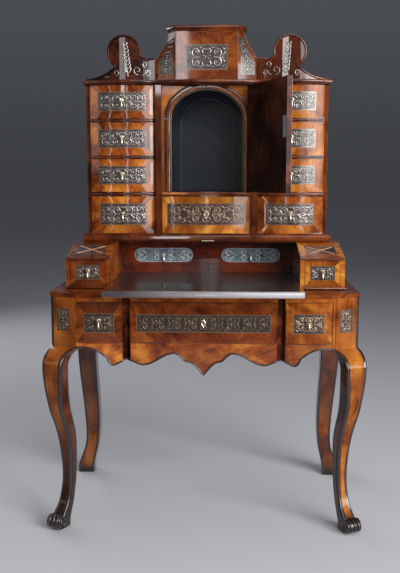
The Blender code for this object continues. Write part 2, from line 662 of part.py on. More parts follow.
def writing_section(finishes):
    """Writing bed, the two tills with their drawers, the drawers at the back and the fall flap."""
    reach = TILL_INNER_X - SEAT_GAP
    bed = box((-reach, HINGE_Y + SEAT_GAP, DESK_HEIGHT + SEAT_GAP), (reach, BOARD_Y - SEAT_GAP, BED_TOP))
    make("writing_bed", bed, finishes["leather"])
    for name, side in SIDES.items():
        till(name, side, finishes)
    half = INTERIOR_DIVIDER / 2
    low = BED_TOP + SEAT_GAP
    high = BASE_BOTTOM - SEAT_GAP
    divider = box((-half, INTERIOR_Y, low), (half, BOARD_Y - SEAT_GAP, high))
    make("interior_divider", divider, finishes["walnut"])
    for name, side in SIDES.items():
        ends = sorted((side * (half + RUN_GAP), side * (TILL_INNER_X - RUN_GAP)))
        drawer("drawer_interior_" + name, ends, (low, high - RUN_GAP), lambda x: INTERIOR_Y,
               BOARD_Y - DRAWER_REST, finishes, steps=2)
    edge = TILL_INNER_X - FLAP_SIDE_GAP
    low = DESK_HEIGHT + SEAT_GAP
    rear = HINGE_Y - SEAT_GAP
    nose = HINGE_Y - FLAP_LENGTH
    profile = [(rear, low), (nose + FLAP_ARRIS, low), (nose, low + FLAP_ARRIS)]
    for turn in spread(0.0, math.pi / 2, 5):
        drop = FLAP_ROUND * (1 - math.sin(turn))
        profile.append((nose + FLAP_ROUND * (1 - math.cos(turn)), BED_TOP - drop))
    profile.append((rear, BED_TOP))
    board = prism(profile, -edge, edge, "x")
    make("flap", board, finishes["leather"], origin=(0.0, HINGE_Y, BED_TOP))


def till(name, side, finishes):
    """Till beside the writing bed: a case with a sloping lid, and a drawer in its front."""
    low = DESK_HEIGHT + SEAT_GAP
    lid_top = BASE_BOTTOM - SEAT_GAP
    rear = BOARD_Y - SEAT_GAP
    profile = [(TILL_Y, low), (TILL_Y, low + TILL_FRONT_HEIGHT), (TILL_Y + TILL_SLOPE_RUN, lid_top),
               (rear, lid_top), (rear, low)]
    outer = TILL_OUTER_X
    shell = mirrored(prism(profile, TILL_INNER_X, outer, "x"), side)
    case = make("till_case_" + name, shell, finishes["walnut"])
    x0 = TILL_INNER_X + TILL_WALL
    x1 = outer - TILL_WALL
    z0 = low + TILL_FLOOR
    z1 = z0 + TILL_DRAWER_HEIGHT
    back = TILL_Y + TILL_DRAWER_DEPTH
    mouth = mirrored(box((x0, TILL_Y - CUT_MARGIN, z0), (x1, back, z1)), side)
    combine(case, helper("till_mouth_" + name, mouth, finishes["walnut"]), "DIFFERENCE")
    ends = sorted((side * (x0 + RUN_GAP), side * (x1 - RUN_GAP)))
    drawer("drawer_till_" + name, ends, (z0 + SEAT_GAP, z1 - RUN_GAP), lambda x: TILL_Y - TILL_DRAWER_PROUD,
           back - DRAWER_REST, finishes, steps=2)


def cabinet_carcase(finishes):
    """Base moulding, sides, back, uprights with their shelves, and the cornice."""
    walnut = finishes["walnut"]
    ebony = finishes["ebony"]
    rear = BOARD_Y - SEAT_GAP
    profile = [(1.0, 0.0), (0.15, 0.23), (0.0, 0.43), (0.15, 0.63), (0.7, 0.77), (0.7, 1.0)]
    moulding = [(BASE_Y + BASE_MOULD * inset, BASE_BOTTOM + BASE_THICK * rise) for inset, rise in profile]
    moulding += [(rear, BASE_TOP), (rear, BASE_BOTTOM)]
    make("cabinet_base", prism(moulding, -BASE_HALF_WIDTH, BASE_HALF_WIDTH, "x"), ebony)
    low = BASE_TOP + SEAT_GAP
    high = CABINET_TOP - SEAT_GAP
    corner = bank_front(CABINET_HALF_WIDTH)
    for name, side in SIDES.items():
        panel = box((BANK_OUTER_X, corner, low), (CABINET_HALF_WIDTH, rear, high))
        make("cabinet_side_" + name, mirrored(panel, side), walnut)
        bank_frame(name, side, low, high, rear, walnut)
    reach = CABINET_HALF_WIDTH
    make("cabinet_back", box((-reach, BOARD_Y, DESK_HEIGHT + SEAT_GAP), (reach, BACK_Y, high)), walnut)
    edge = DIVIDER_INNER_X - SEAT_GAP
    shelf = box((-edge, door_axis()[1], NICHE_FLOOR - LOWER_SHELF), (edge, rear, NICHE_FLOOR))
    make("niche_floor", shelf, walnut)
    steps = [(0.0, 0.15), (0.2, 0.3), (0.45, 0.9), (0.6, 1.0), (0.85, 1.0), (1.0, 0.75)]
    rings = []
    for rise, share in steps:
        level = CABINET_TOP + CORNICE_THICK * rise
        rings.append([(x, y, level) for x, y in cornice_plan(CORNICE_OVERHANG * share)])
    make("cabinet_top", loft(rings), ebony)


def cornice_plan(overhang):
    """Outline of the cornice, which breaks forwards over the banks and the middle."""
    side_x = CABINET_HALF_WIDTH + overhang
    bank = [(x, bank_front(x) - overhang) for x in spread(DIVIDER_OUTER_X, CABINET_HALF_WIDTH, 8)]
    bank.append((side_x, bank_front(CABINET_HALF_WIDTH) - overhang))
    centre = [(x, centre_front(x) - overhang) for x in spread(-DIVIDER_INNER_X, DIVIDER_INNER_X, 8)]
    front = [(-x, y) for x, y in reversed(bank)] + centre + bank
    return front + [(side_x, BACK_Y), (-side_x, BACK_Y)]


def bank_frame(name, side, low, high, rear, material):
    """Upright beside the niche with the shelves that carry one bank of drawers."""
    upright = box((DIVIDER_INNER_X, door_axis()[1], low), (DIVIDER_OUTER_X, rear, high))
    frame = make("bank_frame_" + name, mirrored(upright, side), material)
    xs = spread(DIVIDER_X, BANK_OUTER_X - SEAT_GAP, 8)
    back = rear - SHELF_BACK_GAP
    plan = [(x, bank_front(x) + SHELF_INSET) for x in xs] + [(xs[-1], back), (xs[0], back)]
    shelves = [prism(plan, NICHE_FLOOR - LOWER_SHELF, NICHE_FLOOR)]
    for tier in range(1, BANK_TIERS):
        top = NICHE_FLOOR + tier * TIER_PITCH
        shelves.append(prism(plan, top - BANK_SHELF, top))
    tool = helper("bank_shelves_" + name, mirrored(merge_shapes(*shelves), side), material)
    combine(frame, tool, "UNION")


def cabinet_drawers(finishes):
    back = BOARD_Y - DRAWER_REST
    row = (BASE_TOP + SEAT_GAP, BASE_TOP + LOWER_TIER - RUN_GAP)
    for name, side in SIDES.items():
        ends = sorted((side * (DIVIDER_OUTER_X + RUN_GAP), side * (BANK_OUTER_X - RUN_GAP)))
        drawer("drawer_row_" + name, ends, row, bank_front, back, finishes)
        for tier in range(BANK_TIERS):
            low = NICHE_FLOOR + tier * TIER_PITCH
            levels = (low + SEAT_GAP, low + BANK_TIER - RUN_GAP)
            drawer(f"drawer_bank_{name}_{tier + 1}", ends, levels, bank_front, back, finishes)
    edge = DIVIDER_INNER_X - RUN_GAP
    drawer("drawer_row_middle", (-edge, edge), row, centre_front, back, finishes, pull=False)


def door_axis():
    """Hinge line of the niche door: the outer front corner of the door when shut."""
    return DIVIDER_INNER_X - 2 * SEAT_GAP, NICHE_FRONT_Y - DOOR_THICK - DOOR_REST


def niche(finishes):
    """Arched frame of the niche and its bowed door, which stands open."""
    edge = DIVIDER_INNER_X - SEAT_GAP
    low = NICHE_FLOOR + SEAT_GAP
    high = CABINET_TOP - SEAT_GAP
    spring = NICHE_FLOOR + ARCH_SPRING
    turns = spread(0.0, math.pi, 16)
    arch = [(ARCH_HALF_WIDTH * math.cos(turn), spring + ARCH_RISE * math.sin(turn)) for turn in turns]
    outline = [(-edge, low), (-edge, high), (edge, high), (edge, low), (ARCH_HALF_WIDTH, low)] + arch
    outline.append((-ARCH_HALF_WIDTH, low))
    front = NICHE_FRONT_Y + SEAT_GAP
    make("arch_frame", prism(outline, front, front + ARCH_THICK, "y"), finishes["walnut"])
    axis_x, axis_y = door_axis()
    width = 2 * axis_x
    half = width / 2
    xs = spread(-width + RUN_GAP, -SEAT_GAP, 10)
    outer = [(x, -DOOR_BOW * (1 - ((x + half) / half) ** 2)) for x in xs]
    inner = [(x, y + DOOR_THICK) for x, y in outer]
    inner[0] = (xs[0], DOOR_THICK)
    inner[-1] = (xs[-1], DOOR_THICK)
    bottom = NICHE_FLOOR + RUN_GAP
    top = CABINET_TOP - RUN_GAP
    middle = (bottom + top) / 2
    shape = prism(outer + inner[::-1], bottom - middle, top - middle)
    door = make("niche_door", shape, finishes["ebony"])
    door.location = (axis_x, axis_y, middle)
    door.rotation_euler.z = DOOR_OPEN


def crest(finishes):
    """Crest block with canted, hollow sides, its cap, and the scrolls on each side."""
    foot = CORNICE_TOP + SEAT_GAP
    front = BACK_Y - CENTRE_CROWN_DEPTH
    back = BACK_Y - CREST_BACK_DEPTH

    def plan(half, grow=0.0):
        return [(-CREST_HALF_WIDTH, front - grow), (CREST_HALF_WIDTH, front - grow),
                (half + grow, front + CREST_CANT - grow), (half + grow, back), (-half - grow, back),
                (-half - grow, front + CREST_CANT - grow)]

    rings = [[(x, y, foot) for x, y in plan(CREST_FOOT_HALF_WIDTH)]]
    for share in spread(0.0, 1.0, 7):
        level = foot + CREST_SHOULDER + (CREST_HEIGHT - CREST_SHOULDER) * share
        half = ease(CREST_FOOT_HALF_WIDTH, CREST_HEAD_HALF_WIDTH, share)
        rings.append([(x, y, level) for x, y in plan(half)])
    make("crest_case", loft(rings), finishes["walnut"])
    seat = foot + CREST_HEIGHT + SEAT_GAP
    steps = [(0.0, 0.3), (0.35, 0.55), (0.5, 1.0), (0.85, 1.0), (1.0, 0.7)]
    cap = []
    for rise, grow in steps:
        level = seat + CREST_CAP_THICK * rise
        cap.append([(x, y, level) for x, y in plan(CREST_HEAD_HALF_WIDTH, CREST_CAP_OVERHANG * grow)])
    make("crest_cap", loft(cap), finishes["ebony"])
    for name, side in SIDES.items():
        make("scroll_" + name, mirrored(scroll_shape(foot), side), finishes["walnut"])


def scroll_shape(foot):
    """Scrolled board: a low foot that sweeps up into a volute and runs in to the crest."""
    inner = CREST_FOOT_HALF_WIDTH + SEAT_GAP
    outer = CABINET_HALF_WIDTH - SCROLL_INSET
    toe = foot + SCROLL_TOE
    hub = foot + VOLUTE_HEIGHT
    arc = [math.radians(turn) for turn in range(-45, 196, 20)]
    disc = [(VOLUTE_X + VOLUTE_RADIUS * math.cos(turn), hub + VOLUTE_RADIUS * math.sin(turn)) for turn in arc]
    neck = (VOLUTE_X + 0.5 * VOLUTE_RADIUS, hub - 0.92 * VOLUTE_RADIUS)
    sweep = []
    for share in (0.0, 0.25, 0.5, 0.75):
        sweep.append((outer + (neck[0] - outer) * share, toe + (neck[1] - toe) * share ** 2.2))
    saddle = [(inner + SADDLE_REACH, hub - SADDLE_DROP), (inner, hub - SADDLE_DROP + SADDLE_RISE)]
    outline = [(inner, foot), (outer, foot)] + sweep + [neck] + disc + saddle
    cuts = spread(inner, outer, 12)[1:-1]
    back = BACK_Y - BANK_CROWN_DEPTH + SCROLL_THICK
    return bowed_board(outline, bank_front, back, cuts)


def main():
    clear_scene()
    finishes = {
        "walnut": finish("walnut", (0.36, 0.11, 0.03), 0.25),
        "ebony": finish("ebony", (0.03, 0.015, 0.012), 0.3),
        "leather": finish("leather", (0.035, 0.032, 0.03), 0.45),
        "brass": finish("brass", (0.72, 0.55, 0.27), 0.3, 1.0),
    }
    for side in SIDES.values():
        front_leg(side, finishes["walnut"])
        rear_leg(side, finishes["walnut"])
    front_frame(finishes["walnut"])
    stand_rails(finishes["walnut"])
    desk_top(finishes["walnut"])
    frieze_drawers(finishes)
    writing_section(finishes)
    cabinet_carcase(finishes)
    cabinet_drawers(finishes)
    niche(finishes)
    crest(finishes)


main()
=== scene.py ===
import json
import math
import bpy
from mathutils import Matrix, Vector

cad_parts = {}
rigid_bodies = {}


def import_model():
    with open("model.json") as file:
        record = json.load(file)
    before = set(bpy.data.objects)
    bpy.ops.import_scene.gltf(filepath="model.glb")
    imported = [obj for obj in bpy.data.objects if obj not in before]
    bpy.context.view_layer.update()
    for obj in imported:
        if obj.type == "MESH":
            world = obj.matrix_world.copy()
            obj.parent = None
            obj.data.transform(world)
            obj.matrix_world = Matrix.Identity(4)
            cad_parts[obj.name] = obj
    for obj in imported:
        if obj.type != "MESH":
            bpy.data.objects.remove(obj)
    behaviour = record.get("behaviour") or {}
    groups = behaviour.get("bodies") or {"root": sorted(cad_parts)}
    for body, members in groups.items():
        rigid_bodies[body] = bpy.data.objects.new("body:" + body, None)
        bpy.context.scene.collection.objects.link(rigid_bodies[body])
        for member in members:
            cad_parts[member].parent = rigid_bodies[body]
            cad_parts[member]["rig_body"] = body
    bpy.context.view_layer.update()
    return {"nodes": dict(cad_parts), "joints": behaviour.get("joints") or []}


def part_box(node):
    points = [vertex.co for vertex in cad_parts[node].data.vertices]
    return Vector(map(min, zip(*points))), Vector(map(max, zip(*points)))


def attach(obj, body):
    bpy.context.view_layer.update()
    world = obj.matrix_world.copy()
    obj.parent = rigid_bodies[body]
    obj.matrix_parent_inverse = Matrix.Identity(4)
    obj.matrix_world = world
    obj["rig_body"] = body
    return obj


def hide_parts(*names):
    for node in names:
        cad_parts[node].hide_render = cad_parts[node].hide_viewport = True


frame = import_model()
nodes = frame["nodes"]
sides = (("left", -1), ("right", 1))
print("frame loaded:", len(nodes), "nodes")

# plan of the fronts, the same curves that the solids follow
plan = {
    "backY": 0.32,
    "bankCrownX": 0.300, "bankCrownY": 0.065, "bankEndX": 0.4135, "bankInnerX": 0.1745,
    "outerSetback": 0.032, "innerSetback": 0.025,
    "centreCrownY": 0.062, "centreHalf": 0.1545, "centreSetback": 0.022,
    "friezeY": -0.230, "blockBow": 0.007, "blockStart": 0.256, "blockEnd": 0.405,
    "channelX": 0.244, "channelHalf": 0.012, "channelDepth": 0.010,
    "postX": 0.4485, "postY": -0.2095, "postTurn": math.atan2(0.041, 0.087),
}


def bankY(x):
    away = abs(x) - plan["bankCrownX"]
    if away > 0:
        share = away / (plan["bankEndX"] - plan["bankCrownX"])
        return plan["bankCrownY"] + plan["outerSetback"] * share ** 2
    share = away / (plan["bankCrownX"] - plan["bankInnerX"])
    return plan["bankCrownY"] + plan["innerSetback"] * share ** 2


def centreY(x):
    return plan["centreCrownY"] + plan["centreSetback"] * (x / plan["centreHalf"]) ** 2


def friezeY(x):
    inChannel = abs(abs(x) - plan["channelX"]) / plan["channelHalf"]
    if inChannel < 1:
        return plan["friezeY"] + plan["channelDepth"] * (1 - inChannel ** 2)
    half = (plan["blockEnd"] - plan["blockStart"]) / 2
    swell = 1 - ((abs(x) - plan["blockStart"] - half) / half) ** 2
    return plan["friezeY"] - plan["blockBow"] * max(0.0, swell)


def flatAt(y):
    return lambda x: y


# camera at the photograph's place, its lens given in pixels of the photograph
view = {"place": (0.083, -2.824, 1.147), "turn": 2.08, "tilt": 7.82, "focalPixels": 837.6, "framePixels": 573,
        "sensor": 36}
viewTurn = (math.radians(90 - view["tilt"]), 0, math.radians(view["turn"]))
bpy.ops.object.camera_add(location=view["place"], rotation=viewTurn)
camera = bpy.context.object
camera.data.sensor_fit = "VERTICAL"
camera.data.sensor_height = view["sensor"]
camera.data.lens = view["focalPixels"] / view["framePixels"] * view["sensor"]
bpy.context.scene.camera = camera
bpy.context.scene.view_settings.view_transform = "Standard"


# shader helpers
def newFinish(name):
    material = bpy.data.materials.new(name)
    material.use_nodes = True
    tree = material.node_tree
    return material, tree, tree.nodes["Principled BSDF"]


def addNode(tree, kind, **values):
    # a value is a setting of the node, a number for one of its sockets, or a socket to link from
    node = tree.nodes.new(kind)
    for key, value in values.items():
        if key not in node.inputs:
            setattr(node, key, value)
        elif isinstance(value, bpy.types.NodeSocket):
            tree.links.new(value, node.inputs[key])
        else:
            node.inputs[key].default_value = value
    return node


def addRange(tree, value, source=(0.0, 1.0), target=(0.0, 1.0)):
    node = addNode(tree, "ShaderNodeMapRange", Value=value)
    for key, number in zip(("From Min", "From Max", "To Min", "To Max"), (*source, *target)):
        node.inputs[key].default_value = number
    return node.outputs["Result"]


def addNoise(tree, place, **values):
    return addNode(tree, "ShaderNodeTexNoise", Vector=place, **values).outputs["Fac"]


def addRamp(tree, share, stops):
    node = addNode(tree, "ShaderNodeValToRGB", Fac=share)
    while len(node.color_ramp.elements) < len(stops):
        node.color_ramp.elements.new(0.5)
    for element, (spot, colour) in zip(node.color_ramp.elements, stops):
        element.position = spot
        element.color = (*colour, 1)
    return node.outputs["Color"]


def mixColours(tree, kind, first, second, share):
    # share is a number or a socket; a colour mix keeps its colours on sockets 6 and 7
    node = addNode(tree, "ShaderNodeMix", data_type="RGBA", blend_type=kind, Factor=share)
    tree.links.new(first, node.inputs[6])
    if isinstance(second, bpy.types.NodeSocket):
        tree.links.new(second, node.inputs[7])
    else:
        node.inputs[7].default_value = second
    return node.outputs[2]


def addBump(tree, shader, height, strength, distance):
    bump = addNode(tree, "ShaderNodeBump", Height=height, Strength=strength, Distance=distance)
    tree.links.new(bump.outputs["Normal"], shader.inputs["Normal"])


# floor and soft studio light
studio = {
    "floorColour": (0.50, 0.50, 0.53, 1), "floorSize": 60.0, "floorRough": 0.75,
    "worldColour": (0.56, 0.60, 0.68, 1), "worldLight": (0.078, 0.15), "skyline": 0.3,
    "lamps": {  # place, aim, width and height, watts, spread in degrees
        "softboxRight": ((3.42, -3.36, 2.45), (0.0, 0.0, 1.0), (2.6, 3.0), 104, 100),
        "softboxKey": ((0.95, -2.8, 3.0), (0.1, 0.0, 0.9), (1.6, 1.3), 30, 180),
        "stripCrest": ((-0.37, -3.3, 2.02), (-0.07, 0.0, 1.5), (0.28, 0.62), 5.6, 180),
        "stripFront": ((-0.07, -3.0, 1.27), (-0.07, 0.0, 1.27), (0.12, 0.95), 1.7, 180),
        "stripLeft": ((-1.62, -2.75, 1.3), (-0.3, 0.08, 1.3), (0.07, 1.1), 2.0, 180),
        "stripSheen": ((1.50, -3.0, 1.50), (-0.2, 0.08, 1.4), (0.55, 1.55), 12.4, 180),
        "softboxLeft": ((-2.6, -1.6, 1.9), (0.0, 0.0, 0.8), (0.8, 1.6), 5, 180),
        "softboxTop": ((0.2, 0.2, 3.4), (0.0, 0.0, 0.0), (2.2, 1.6), 16, 180),
        "softboxBack": ((-2.4, 2.6, 2.1), (0.0, 0.3, 0.9), (2.6, 2.2), 42, 180),
    },
}


def makeStudio():
    world = bpy.data.worlds.new("studioWorld")
    bpy.context.scene.world = world
    world.use_nodes = True
    sky = world.node_tree
    background = sky.nodes["Background"]
    background.inputs["Color"].default_value = studio["worldColour"]
    # the sky darkens to the tone of the far floor, so no line shows between them
    direction = addNode(sky, "ShaderNodeTexCoord").outputs["Generated"]
    height = addNode(sky, "ShaderNodeSeparateXYZ", Vector=direction).outputs["Z"]
    rise = addRange(sky, height, (0.0, studio["skyline"]), studio["worldLight"])
    sky.links.new(rise, background.inputs["Strength"])
    bpy.ops.mesh.primitive_plane_add(size=studio["floorSize"])
    floor = bpy.context.object
    floor.name = "studioFloor"
    floorPaint, tree, shader = newFinish("floorPaint")
    shader.inputs["Base Color"].default_value = studio["floorColour"]
    shader.inputs["Roughness"].default_value = studio["floorRough"]
    floor.data.materials.append(floorPaint)
    for name, (place, aim, size, power, spread) in studio["lamps"].items():
        turn = (Vector(aim) - Vector(place)).to_track_quat("-Z", "Y").to_euler()
        bpy.ops.object.light_add(type="AREA", location=place, rotation=turn)
        light = bpy.context.object
        light.name = name
        light.data.shape = "RECTANGLE"
        light.data.size, light.data.size_y = size
        light.data.energy = power
        light.data.spread = math.radians(spread)


makeStudio()
print("studio ready")

# veneers: tones are linear colours from dark to light
# grain is how far the figure is drawn out along x, y and z
woods = {
    "walnutUpright": {"tones": [(0.098, 0.017, 0.003), (0.285, 0.063, 0.007), (0.520, 0.179, 0.024)],
                      "grain": (26, 26, 4.2), "patch": 9.0, "slant": 26},
    "walnutAcross": {"tones": [(0.104, 0.018, 0.003), (0.300, 0.068, 0.008), (0.540, 0.193, 0.025)],
                     "grain": (4.2, 26, 26), "patch": 10.0, "slant": 22},
    "goldUpright": {"tones": [(0.190, 0.042, 0.006), (0.480, 0.147, 0.017), (0.740, 0.350, 0.053)],
                    "grain": (26, 26, 4.2), "patch": 9.0, "slant": -26},
    "friezeUpright": {"tones": [(0.056, 0.009, 0.002), (0.165, 0.031, 0.004), (0.300, 0.083, 0.011)],
                      "grain": (26, 26, 4.2), "patch": 9.0, "slant": 26, "coat": 0.7},
    "walnutDeep": {"tones": [(0.038, 0.008, 0.003), (0.110, 0.022, 0.005), (0.190, 0.046, 0.009)],
                   "grain": (24, 24, 4), "patch": 6.0},
    # scrollWood: near-black walnut. Its darkness is painted shade on the left scroll, in the frieze channels
    # and on the bead under the cornice. On the door edge it is simply a dark tone.
    "scrollWood": {"tones": [(0.007, 0.0025, 0.002), (0.028, 0.006, 0.003), (0.120, 0.026, 0.009)],
                   "grain": (18, 18, 9), "patch": 16.0, "slant": 30, "coat": 0.05},
    "redInterior": {"tones": [(0.034, 0.006, 0.002), (0.125, 0.017, 0.004), (0.225, 0.039, 0.007)],
                    "grain": (4, 24, 24), "patch": 6.0},
    "doorInside": {"tones": [(0.014, 0.008, 0.006), (0.046, 0.018, 0.011), (0.120, 0.040, 0.020)],
                   "grain": (24, 24, 3), "patch": 4.0, "coat": 0.22},
    "legRight": {"tones": [(0.110, 0.021, 0.004), (0.300, 0.081, 0.010), (0.490, 0.184, 0.028)],
                 "grain": (30, 30, 2.4), "patch": 5.0, "coat": 0.3, "cloud": (0.74, 0.66, 0.62)},
    # legLeft: a darker copy of the leg veneer. It paints shade on the left leg, which lies away from the
    # light. The corner posts take it too.
    "legLeft": {"tones": [(0.088, 0.017, 0.003), (0.255, 0.061, 0.007), (0.440, 0.143, 0.020)],
                "grain": (30, 30, 2.4), "patch": 5.0, "coat": 0.5, "cloud": (0.66, 0.58, 0.54)},
    # walnutRear: the leg veneer made darker as painted shade, for the rear legs in the shadow of the case.
    "walnutRear": {"tones": [(0.046, 0.008, 0.002), (0.140, 0.031, 0.005), (0.250, 0.075, 0.012)],
                   "grain": (26, 26, 3.2), "patch": 6.0},
    "backBoards": {"tones": [(0.070, 0.036, 0.017), (0.135, 0.076, 0.038), (0.210, 0.130, 0.068)],
                   "grain": (16, 16, 1.6), "patch": 3.0, "coat": 0.0, "cloud": (0.7, 0.66, 0.62)},
    "drawerOak": {"tones": [(0.200, 0.115, 0.052), (0.330, 0.205, 0.100), (0.430, 0.290, 0.155)],
                  "grain": (18, 2.5, 18), "patch": 4.0},
}
# the same veneers laid another way or polished otherwise
woods["goldAcross"] = {**woods["goldUpright"], "grain": (4.2, 26, 26), "patch": 10.0, "slant": -22}
woods["friezeAcross"] = {**woods["friezeUpright"], "grain": (4.2, 26, 26), "patch": 10.0, "slant": 12}
woods["topBoards"] = {**woods["walnutDeep"], "grain": (4, 24, 24), "coat": 0.12}
woods["scrollPolished"] = {**woods["scrollWood"], "coat": 0.4}
woodLook = {
    "fibre": {"Scale": 3.0, "Detail": 6.0, "Roughness": 0.6, "Distortion": 1.2},
    "figure": {"Detail": 4.0, "Roughness": 0.55, "Distortion": 1.4}, "figureShare": 0.70,
    "clouds": {"Detail": 2.0, "Roughness": 0.5, "Distortion": 0.4}, "cloudScale": 0.45, "cloudShare": 0.85,
    "toneStops": (0.36, 0.49, 0.63), "cloudStops": (0.36, 0.60), "cloud": (0.42, 0.33, 0.30),
    "gloss": (0.20, 0.38), "bump": (0.10, 0.0006), "specular": 0.07, "coatRough": 0.05,
}


def makeWood(name):
    wood = woods[name]
    material, tree, shader = newFinish(name)
    place = addNode(tree, "ShaderNodeTexCoord").outputs["Object"]
    slant = (0, math.radians(wood.get("slant", 0.0)), 0)
    slanted = addNode(tree, "ShaderNodeMapping", Vector=place, Rotation=slant).outputs["Vector"]
    drawn = addNode(tree, "ShaderNodeMapping", Vector=slanted, Scale=wood["grain"]).outputs["Vector"]
    fibre = addNoise(tree, drawn, **woodLook["fibre"])
    figure = addNoise(tree, place, Scale=wood["patch"], **woodLook["figure"])
    share = woodLook["figureShare"]
    grain = addNode(tree, "ShaderNodeMix", data_type="FLOAT", Factor=share, A=fibre, B=figure)
    toned = addRamp(tree, grain.outputs[0], list(zip(woodLook["toneStops"], wood["tones"])))
    clouds = addNoise(tree, place, Scale=wood["patch"] * woodLook["cloudScale"], **woodLook["clouds"])
    shades = (wood.get("cloud", woodLook["cloud"]), (1, 1, 1))
    shaded = addRamp(tree, clouds, list(zip(woodLook["cloudStops"], shades)))
    stained = mixColours(tree, "MULTIPLY", toned, shaded, woodLook["cloudShare"])
    tree.links.new(stained, shader.inputs["Base Color"])
    tree.links.new(addRange(tree, fibre, target=woodLook["gloss"]), shader.inputs["Roughness"])
    addBump(tree, shader, fibre, *woodLook["bump"])
    shader.inputs["Specular IOR Level"].default_value = woodLook["specular"]
    shader.inputs["Coat Weight"].default_value = wood.get("coat", 1.0)
    shader.inputs["Coat Roughness"].default_value = woodLook["coatRough"]
    return material


# inlay, metal, leather and paint: dark and light tone of the mottling and its scale
# the rest is as in plainLook, unless a finish says otherwise
plainLook = {"start": 0.30, "rough": (0.25, 0.45), "metal": 0.0, "coat": 0.6, "bump": 0.03,
             "bumpDepth": 0.0008, "coatRough": 0.08, "detail": 5.0, "mottle": 0.6}
plainFinishes = {
    "ebony": {"tones": ((0.008, 0.004, 0.004), (0.028, 0.013, 0.011)), "scale": 30, "start": 0.35,
              "rough": (0.22, 0.40), "bump": 0.04},
    "inlayGround": {"tones": ((0.012, 0.007, 0.006), (0.062, 0.026, 0.018)), "scale": 42, "start": 0.35},
    # brownGround: a dark brown ground, made darker still as painted shade. It is used for the middle frieze
    # under the flap and for the left side.
    "brownGround": {"tones": ((0.009, 0.004, 0.003), (0.034, 0.013, 0.006)), "scale": 42, "start": 0.35,
                    "rough": (0.30, 0.50), "coat": 0.15},
    "redGround": {"tones": ((0.026, 0.009, 0.007), (0.105, 0.036, 0.024)), "scale": 42, "start": 0.35},
    "paleInlay": {"tones": ((0.138, 0.124, 0.106), (0.380, 0.360, 0.330)), "scale": 60,
                  "rough": (0.18, 0.34), "metal": 0.75, "coat": 0.2, "bump": 0.05},
    "warmInlay": {"tones": ((0.150, 0.104, 0.072), (0.440, 0.320, 0.220)), "scale": 60,
                  "rough": (0.24, 0.42), "metal": 0.65, "coat": 0.2, "bump": 0.05},
    # dimInlay: gold-brown inlay, dimmed as painted shade, for the middle frieze under the flap and the left
    # frieze.
    "dimInlay": {"tones": ((0.050, 0.035, 0.020), (0.190, 0.140, 0.085)), "scale": 60,
                 "rough": (0.28, 0.46), "metal": 0.60, "coat": 0.3, "bump": 0.05},
    "creamInlay": {"tones": ((0.420, 0.270, 0.130), (0.640, 0.480, 0.290)), "scale": 70, "start": 0.32,
                   "rough": (0.25, 0.42)},
    "redMedallion": {"tones": ((0.110, 0.020, 0.012), (0.300, 0.060, 0.030)), "scale": 60, "coat": 0.5},
    "stringing": {"tones": ((0.110, 0.056, 0.022), (0.230, 0.135, 0.060)), "scale": 120,
                  "rough": (0.25, 0.40), "bump": 0.02},
    "brass": {"tones": ((0.400, 0.310, 0.185), (0.800, 0.700, 0.520)), "scale": 140,
              "rough": (0.18, 0.38), "metal": 1.0, "coat": 0.0, "bump": 0.06},
    "leather": {"tones": ((0.010, 0.006, 0.005), (0.036, 0.020, 0.016)), "scale": 130, "start": 0.32,
                "rough": (0.20, 0.42), "coat": 0.30, "bump": 0.16},
    "nicheLining": {"tones": ((0.0020, 0.0066, 0.0125), (0.0070, 0.0200, 0.0380)), "scale": 5, "start": 0.32,
                    "rough": (0.38, 0.55), "coat": 0.0},
    "paintedBlue": {"tones": ((0.034, 0.066, 0.100), (0.190, 0.255, 0.325)), "scale": 75,
                    "rough": (0.22, 0.40)},
    "paintedGreen": {"tones": ((0.085, 0.125, 0.070), (0.300, 0.370, 0.210)), "scale": 90,
                     "rough": (0.22, 0.40)},
    "paintedWhite": {"tones": ((0.240, 0.290, 0.330), (0.580, 0.630, 0.650)), "scale": 90,
                     "rough": (0.22, 0.40)},
    # Painted shade and reflection: the flap edge runs from dark at its left end to pale at its right, for the
    # sheen on its front edge. The pale cheek beads of the tills take it too.
    "flapEdge": {"tones": ((0.048, 0.038, 0.040), (0.400, 0.390, 0.405)), "scale": 40, "start": 0.10,
                 "slope": (-0.31, 0.31), "rough": (0.20, 0.36), "coat": 1.0},
    # mirrorEdge: pale grey-blue, for the capitals of the arch and the painted highlight at the back of the
    # niche.
    "mirrorEdge": {"tones": ((0.020, 0.028, 0.034), (0.080, 0.105, 0.120)), "scale": 20, "start": 0.32,
                   "rough": (0.14, 0.28), "coat": 0.8, "bump": 0.02},
}


def makePlain(name):
    look = {**plainLook, **plainFinishes[name]}
    material, tree, shader = newFinish(name)
    place = addNode(tree, "ShaderNodeTexCoord").outputs["Object"]
    mottle = addNoise(tree, place, Scale=look["scale"], Detail=look["detail"], Roughness=look["mottle"])
    share = mottle
    # Painted shade and reflection: with a slope the tone runs from dark at one end of the piece to pale at
    # the other.
    if "slope" in look:  # the tone runs from one end of the piece to the other
        across = addNode(tree, "ShaderNodeSeparateXYZ", Vector=place).outputs["X"]
        share = addRange(tree, across, look["slope"])
    toned = addRamp(tree, share, list(zip((look["start"], 1 - look["start"]), look["tones"])))
    tree.links.new(toned, shader.inputs["Base Color"])
    tree.links.new(addRange(tree, mottle, target=look["rough"]), shader.inputs["Roughness"])
    addBump(tree, shader, mottle, look["bump"], look["bumpDepth"])
    shader.inputs["Metallic"].default_value = look["metal"]
    shader.inputs["Coat Weight"].default_value = look["coat"]
    shader.inputs["Coat Roughness"].default_value = look["coatRough"]
    return material


finishes = {name: makeWood(name) for name in woods}
finishes.update({name: makePlain(name) for name in plainFinishes})
print("finishes ready:", len(finishes))


# bench helpers
square = 0.9  # a normal's share along one axis from which a face counts as facing that way


